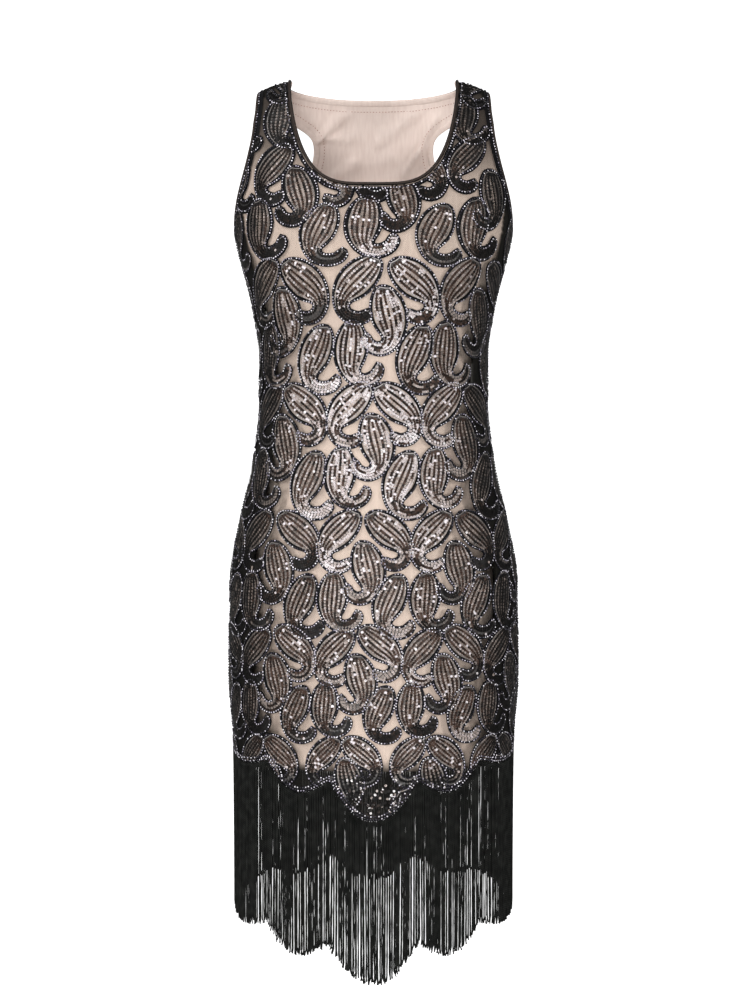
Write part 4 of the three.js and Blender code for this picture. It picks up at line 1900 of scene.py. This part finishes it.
OUTWARDS, INWARDS, INFILL, UPRIGHT, HOOKED = MotifKind
BODY_ROWS = motif_rows(
    (UPRIGHT, -174, -59, 127, 70, 1.17),
    (HOOKED, -168, -8, 124, 70, 1.15),
    (OUTWARDS, -231, -74, 122, 79, 1.03),
    (INWARDS, -231, -20, 117, 79, 1.03),
    (INFILL, -268, 15, 116, 76),
    (UPRIGHT, -308, -64, 109, 76),
    (HOOKED, -304, -22, 104, 74),
    (OUTWARDS, -363, -74, 104, 76),
    (INWARDS, -364, -29, 103, 77),
    (INFILL, -403, 2, 104, 74),
    (UPRIGHT, -443, -72, 102, 76),
    (HOOKED, -437, -34, 103, 70),
    (OUTWARDS, -499, -80, 100, 72),
    (INWARDS, -500, -40, 101, 73),
    (INFILL, -538, -7, 101, 70),
    (UPRIGHT, -573, -80, 98, 71),
    (HOOKED, -570, -42, 100, 68),
    (OUTWARDS, -620, -84, 94, 68),
    (INWARDS, -625, -45, 95, 68),
    (INFILL, -657, -15, 94, 66),
    (UPRIGHT, -689, -86, 92, 63),
    (HOOKED, -685, -51, 93, 62),
    (OUTWARDS, -736, -10, 92, 60),
    (INWARDS, -737, -56, 91, 58),
    (INFILL, -765, -27, 91, 60),
    (HOOKED, -798, -58, 93, 60),
)
FRONT_SPOTS = motif_rows(
    (INFILL, 4, -98, 0, 60),
    (INWARDS, 2, 114, 0, 62),
    (HOOKED, -49, -103, 0, 62, 1.15),
    (HOOKED, -45, 102, 0, 60, 1.15),
    (UPRIGHT, -47, -151, 0, 66),
    (INWARDS, -103, -115, 0, 74),
    (INWARDS, -92, 101, 0, 68),
    (OUTWARDS, -111, -43, 0, 66),
    (OUTWARDS, -101, 59, 0, 70),
    (INWARDS, -104, 0, 0, 68),
    (INFILL, -132, -82, 0, 68, 1.12),
    (INFILL, -141, 31, 0, 64, 1.05),
    (INFILL, -134, 139, 0, 68, 1.1),
    (UPRIGHT, -113, -163, 0, 64),
)
BACK_ROWS = motif_rows(
    (OUTWARDS, -6, -60, 116, 70),
    (INWARDS, -8, -6, 116, 70),
    (INFILL, -42, 26, 117, 72),
    (UPRIGHT, -76, -57, 118, 70),
    (HOOKED, -72, -8, 118, 70),
    (OUTWARDS, -118, -42, 119, 70),
    (INWARDS, -120, 18, 119, 70),
    (INFILL, -142, -92, 119, 66),
)


FRONT_CREASES = (
    Crease((-150, -330), (-60, -372), 0.7, 12, 0.4),
    Crease((150, -345), (70, -380), 0.6, 12, 1.9),
    Crease((-140, -200), (-70, -262), 0.6, 14, 2.6),
    Crease((140, -196), (76, -250), 0.6, 14, 0.9),
)
BACK_CREASES = (
    Crease((-150, -340), (-50, -366), 0.8, 12, 1.1),
    Crease((150, -334), (52, -372), 0.8, 12, 2.4),
)
BACK_LINING_CREASES = (
    Crease((-66, -53), (-33, -17), -6.4, 3.2, 0.2),
    Crease((-66, -51), (8, -36), -4.2, 4.0, 1.4),
    Crease((-6, -58), (52, -16), -5.0, 4.2, 2.2),
    Crease((32, -94), (76, -18), -7.0, 3.6, 3.0),
    Crease((30, -90), (60, -52), -5.6, 3.0, 0.8),
    Crease((-72, -36), (-84, -14), -3.2, 3.4, 1.9),
    Crease((-54, -100), (-14, -66), -3.6, 4.4, 0.5),
    Crease((-30, -80), (28, -66), -2.8, 6.0, 2.7),
)


@dataclass
class Studio:
    """Pale round backdrop, soft lamps and the camera."""

    floor_height: float = -1.6
    radius: float = 6.0
    wall: float = 7.0
    bend: float = 1.6
    camera_distance: float = 3.1
    camera_height: float = -0.459
    camera_across: float = 0.0017
    frame_height: float = 1.11
    sensor: float = 36.0
    ambient: float = 0.31
    lamps: tuple[tuple[str, Triple, tuple[float, float], float], ...] = (
        ("front_lamp", (-0.45, -3.65, 0.0), (1.0, 1.0), 37),
        ("low_lamp", (-0.2, -3.3, -1.05), (0.8, 0.5), 36),
        ("left_lamp", (-2.6, -2.2, 0.2), (0.7, 1.3), 32),
        ("right_lamp", (2.6, -2.2, 0.1), (0.7, 1.3), 34),
        ("top_lamp", (-1.3, -1.1, 1.7), (0.5, 0.5), 21),
        ("back_lamp", (0.3, 3.6, 0.6), (1.0, 1.0), 66),
    )

    def build(self) -> None:
        """Build the floor, the lamps, the world and the camera."""
        self._backdrop()
        for lamp in self.lamps:
            self._lamp(*lamp)
        world = bpy.data.worlds.new("studio")
        world.use_nodes = True
        background = world.node_tree.nodes["Background"]
        background.inputs["Color"].default_value = (1.0, 1.0, 1.0, 1.0)
        background.inputs["Strength"].default_value = self.ambient
        bpy.context.scene.world = world
        self._camera()
        bpy.context.scene.view_settings.view_transform = "Standard"

    def _backdrop(self) -> None:
        """A floor disc that curves up into a wall all round."""
        mesh = bmesh.new()
        flat, steps = self.radius - self.bend, 12
        turns = [k / steps * RIGHT_ANGLE for k in range(steps + 1)]
        curve = [(flat + self.bend * math.sin(a), self.bend - self.bend * math.cos(a)) for a in turns]
        profile = [(0.02, 0.0), *curve, (self.radius, self.wall)]
        points = [mesh.verts.new((x, 0.0, self.floor_height + z)) for x, z in profile]
        edges = [mesh.edges.new(pair) for pair in zip(points, points[1:])]
        bmesh.ops.spin(
            mesh, geom=points + edges, cent=(0, 0, 0), axis=(0, 0, 1), angle=2 * math.pi, steps=72,
            use_merge=True,
        )
        rim = [vertex for vertex in mesh.verts if vertex.co.xy.length < 0.03]
        bmesh.ops.pointmerge(mesh, verts=rim, merge_co=(0, 0, self.floor_height))
        bmesh.ops.recalc_face_normals(mesh, faces=mesh.faces)
        floor = smooth_piece("studio_floor", mesh)
        nodes = NodeSet("pale_floor")
        tone = nodes.noise(nodes.place(), 0.7)
        paint = nodes.shader({
            "Base Color": nodes.ramp(tone, ((0.3, (0.9,) * 3), (0.7, (0.93,) * 3))), "Roughness": 0.9,
            "Emission Color": (1.0, 1.0, 1.0, 1.0), "Emission Strength": 1.0,
        })
        floor.data.materials.append(nodes.finish(paint))
        floor.visible_diffuse = floor.visible_glossy = floor.visible_shadow = False

    def _lamp(self, name: str, place: Triple, size: tuple[float, float], power: float) -> None:
        """One soft rectangular lamp that points at the middle of the dress.

        Args:
            name: Its name.
            place: Where it stands.
            size: Its width and height.
            power: Its power in watts.
        """
        data = bpy.data.lights.new(name, "AREA")
        data.shape = "RECTANGLE"
        data.size, data.size_y = size
        data.energy = power
        lamp = bpy.data.objects.new(name, data)
        lamp.location = place
        target = Vector((0.0, 0.0, self.camera_height))
        lamp.rotation_euler = (target - Vector(place)).to_track_quat("-Z", "Y").to_euler()
        lamp.visible_camera = False
        bpy.context.scene.collection.objects.link(lamp)

    def _camera(self) -> None:
        """A level camera in front of the dress."""
        data = bpy.data.cameras.new("camera")
        data.sensor_width = self.sensor
        data.lens = self.sensor * self.camera_distance / self.frame_height
        data.clip_end = 60.0
        camera = bpy.data.objects.new("camera", data)
        camera.location = (self.camera_across, -self.camera_distance, self.camera_height)
        camera.rotation_euler = (RIGHT_ANGLE, 0.0, 0.0)
        bpy.context.scene.collection.objects.link(camera)
        bpy.context.scene.camera = camera


@dataclass
class Dress:
    """The whole dress, piece by piece."""

    form: DressForm = field(default_factory=DressForm)
    lining_inset: float = 3.2 * MM
    net_inset: float = 1.7 * MM
    strip_width: float = 3.4 * MM
    strip_depth: float = 4.3 * MM
    strip_past: float = 2.7 * MM
    turned_width: tuple[float, float] = (-4.0 * MM, 3.4 * MM)
    turned_depth: tuple[float, float] = (-1.7 * MM, -4.3 * MM)
    wall: float = 0.5 * MM
    stitch_row: float = 9.0
    stitch_pitch: float = 3.4 * MM
    stitch_size: Triple = (1.7 * MM, 0.95 * MM, 0.6 * MM)
    neck_middle: Triple = (0.0, 0.0, 200 * MM)

    def __post_init__(self) -> None:
        """Cut the panels of the net and of the lining."""
        front, back = FRONT_CREASES, BACK_CREASES
        self.panels, self.lining_panels = (
            {face: Panel(self.form, face, creases) for face, creases in zip(Face, cut)}
            for cut in ((front, back), (front, back + BACK_LINING_CREASES))
        )

    def build(self) -> None:
        """Build every piece."""
        self._finishes()
        for face in Face:
            self._net(face)
            self._lining(face)
        self._bindings()

    def _finishes(self) -> None:
        """Make each material once."""
        self.net = NetFinish().material()
        self.lining = LiningFinish().material()
        even = ((0.0, 1.0), (1.0, 1.0))
        # Painted highlight: the profile lights each bead's top cap, and the ramp runs from dark navy up to
        # near white.
        self.beads = SparkleFinish(
            "hematite_beads", ((0.44, 0.0), (0.56, 0.5), (0.66, 1.0)),
            stops((0.0, 14, 13, 20), (0.35, 56, 52, 64), (0.7, 186, 178, 196), (1.0, 255, 252, 255)),
            metallic=0.1, roughness=(0.18, 0.3), coat=0.15,
        ).material()
        # Near-white top of the ramp: the painted glints of a few dark sequins.
        self.smoky = SparkleFinish(
            "smoky_sequins", even,
            stops((0.0, 10, 9, 9), (0.18, 27, 25, 24), (0.45, 56, 43, 37), (0.8, 90, 72, 64),
                  (0.95, 226, 218, 222)),
            metallic=0.1, roughness=(0.3, 0.5), gloss=0.1,
        ).material()
        # The profile keeps the centre dark at the hole, paints a bright ring as the rim's highlight and dims
        # the edge as painted shade.
        self.silver = SparkleFinish(
            "silver_sequins", ((0.0, 0.05), (0.3, 0.15), (0.44, 1.15), (0.8, 1.15), (1.0, 0.4)),
            stops((0.0, 22, 20, 20), (0.1, 46, 44, 43), (0.28, 132, 118, 110), (0.5, 186, 170, 162),
                  (0.75, 230, 220, 224), (1.0, 255, 254, 255)),
            metallic=0.12, roughness=(0.3, 0.45), coat=0.15,
        ).material()
        self.cord = SparkleFinish(
            "flat_cord", even,
            stops((0.0, 9, 9, 11), (0.3, 66, 62, 62), (0.6, 140, 134, 130), (1.0, 225, 218, 218)),
            metallic=0.0, roughness=(0.5, 0.65), gloss=0.12,
        ).material()
        self.binding = BindingFinish(math.pi * (self.strip_width + self.strip_depth) / 2).material()
        black, grey = linear(9, 10, 9), linear(37, 38, 36)
        self.fringe = ThreadFinish("black_fringe", black, grey, 2.2 * MM).material()
        rose, pink = linear(150, 100, 86), linear(188, 138, 124)
        self.stitching = ThreadFinish("rose_stitching", rose, pink, 1.0 * MM).material()

    def _net(self, face: Face) -> None:
        """The net of one face with everything sewn to it.

        Args:
            face: The face.
        """
        sheet = ClothSheet(self.panels[face], f"net_{face.value}", self.net_inset).build(density_and_shade=0.97)
        dress_in(sheet, self.net, Slot.BEADED_NET)
        rows = (FRONT_SPOTS if face is Face.FRONT else BACK_ROWS) + BODY_ROWS
        work = BeadWork(self.panels[face], rows, seed=11 + len(face.value)).build(
            self.beads, self.smoky, self.silver, self.cord
        )
        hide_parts(f"shell_{face.value}")
        work + self._fringe(face)

    def _lining(self, face: Face) -> None:
        """The lining of one face.

        Args:
            face: The face.
        """
        panel = self.lining_panels[face]
        sheet = ClothSheet(panel, f"lining_cloth_{face.value}", self.lining_inset, lining=True).build()
        solid = sheet.modifiers.new("cloth_thickness", "SOLIDIFY")
        solid.thickness, solid.offset = self.wall, -1.0
        dress_in(sheet, self.lining, Slot.NUDE_LINING)
        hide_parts(f"lining_skirt_{face.value}", f"lining_bodice_{face.value}")
        work = self._turned_edges() if face is Face.BACK else []

    def _fringe(self, face: Face) -> list[Piece]:
        """The fringe of one face: its strings and its heading.

        Args:
            face: The face.

        Returns:
            The finished pieces.
        """
        strings, heading = Fringe(self.panels[face], seed=31 + len(face.value)).build()
        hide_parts(f"fringe_{face.value}")
        return [dress_in(piece, self.fringe, Slot.FRINGE) for piece in (strings, heading)]

    def _edge(self, face: Face, outer: bool, side: int) -> Places:
        """Places and normals along a panel's edge, from the underarm or the centre upwards.

        Args:
            face: The face.
            outer: The armhole's edge, not the neck's.
            side: 1 towards +X, -1 the other way.

        Returns:
            The places and the normals.
        """
        turn, height = self.panels[face].yoke_edges(5)[int(outer)]
        if not outer:
            first = int(np.argmax(turn > 0)) - 1
            turn, height = turn[first:], height[first:]
        return self.form.at_turn(face, side * turn, height)

    def _turned_edges(self) -> list[Piece]:
        """The back lining's edges, turned over the bindings' inside, and the row of stitches beside them.

        Returns:
            The finished pieces.
        """
        pieces = []
        right, left = self._edge(Face.BACK, False, 1), self._edge(Face.BACK, False, -1)
        neck = [np.vstack([left[k][::-1], right[k][1:]]) for k in (0, 1)]
        edges = {"neck": (neck, self.neck_middle)}
        for name, side in (("left", 1), ("right", -1)):
            edges[f"armhole_{name}"] = (self._edge(Face.BACK, True, side), (side * 0.4, 0.06, -88 * MM))
        for name, ((point, normal), middle) in edges.items():
            roll = Roll(f"lining_turned_edge_{name}", middle, self.turned_width, self.turned_depth, False)
            pieces.append(dress_in(roll.build(point, normal), self.lining, Slot.NUDE_LINING))
        pieces.append(dress_in(self._stitches(), self.stitching, Slot.NUDE_LINING))
        return pieces

    def _stitches(self) -> Piece:
        """Short stitches that hold the back lining's turned edges.

        Returns:
            The stitches.
        """
        panel, stamp, parts = self.lining_panels[Face.BACK], Stamp.bead(), []
        for name, side in (("neck", 1), ("neck", -1), ("outer", 1), ("outer", -1)):
            line = panel.beside(name, side, self.stitch_row)
            count = int(length_of(line) / self.stitch_pitch)
            spots = along(line, count)
            ahead = unit(np.gradient(spots, axis=0))
            point, normal = panel.cloth(spots[:, 0], spots[:, 1], self.lining_inset + 0.8 * MM, lining=True)
            level, up = panel.headings(normal)
            size = np.tile(self.stitch_size, (count, 1))
            placed = stamp.placed(point, level * ahead[:, :1] + up * ahead[:, 1:2], normal, size)
            parts.append((stamp, placed, np.ones(count)))
        return joined_mesh("lining_edge_stitches", parts)

    def _bindings(self) -> None:
        """The neck binding and the two armhole bindings."""
        front, back = Face.FRONT, Face.BACK
        chain = [(front, False, 1, 1), (back, False, 1, -1), (back, False, -1, 1), (front, False, -1, -1)]
        self._bind("neck_binding_strip", "neck_binding", chain, self.neck_middle)
        for name, side in (("left", 1), ("right", -1)):
            middle = (side * 153.5 * MM, 0.0, -88 * MM)
            chain = [(front, True, side, 1), (back, True, side, -1)]
            self._bind(f"armhole_binding_strip_{name}", f"armhole_binding_{name}", chain, middle)

    def _bind(self, name: str, node: str, chain: list[tuple], middle: Triple) -> None:
        """One binding from the edges it follows.

        Args:
            name: Name of the strip.
            node: The node it replaces.
            chain: Face, edge and side of each stretch, and 1 or -1 for its direction.
            middle: A place inside the opening.
        """
        parts = [(self._edge(*stretch), way) for *stretch, way in chain]
        point, normal = (np.vstack([part[k][::way][:-1] for part, way in parts]) for k in (0, 1))
        across = (self.strip_past - self.strip_width, self.strip_past)
        through = (0.5 * MM, 0.5 * MM - self.strip_depth)
        piece = Roll(name, middle, across, through).build(point, normal)
        dress_in(piece, self.binding, Slot.BINDING)
        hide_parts(node)


def main() -> None:
    """Build the dress and its studio, in order."""
    logging.basicConfig(level=logging.INFO, format="%(message)s")
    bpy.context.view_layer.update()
    Studio().build()
    Dress().build()


if __name__ == "__main__":
    main()
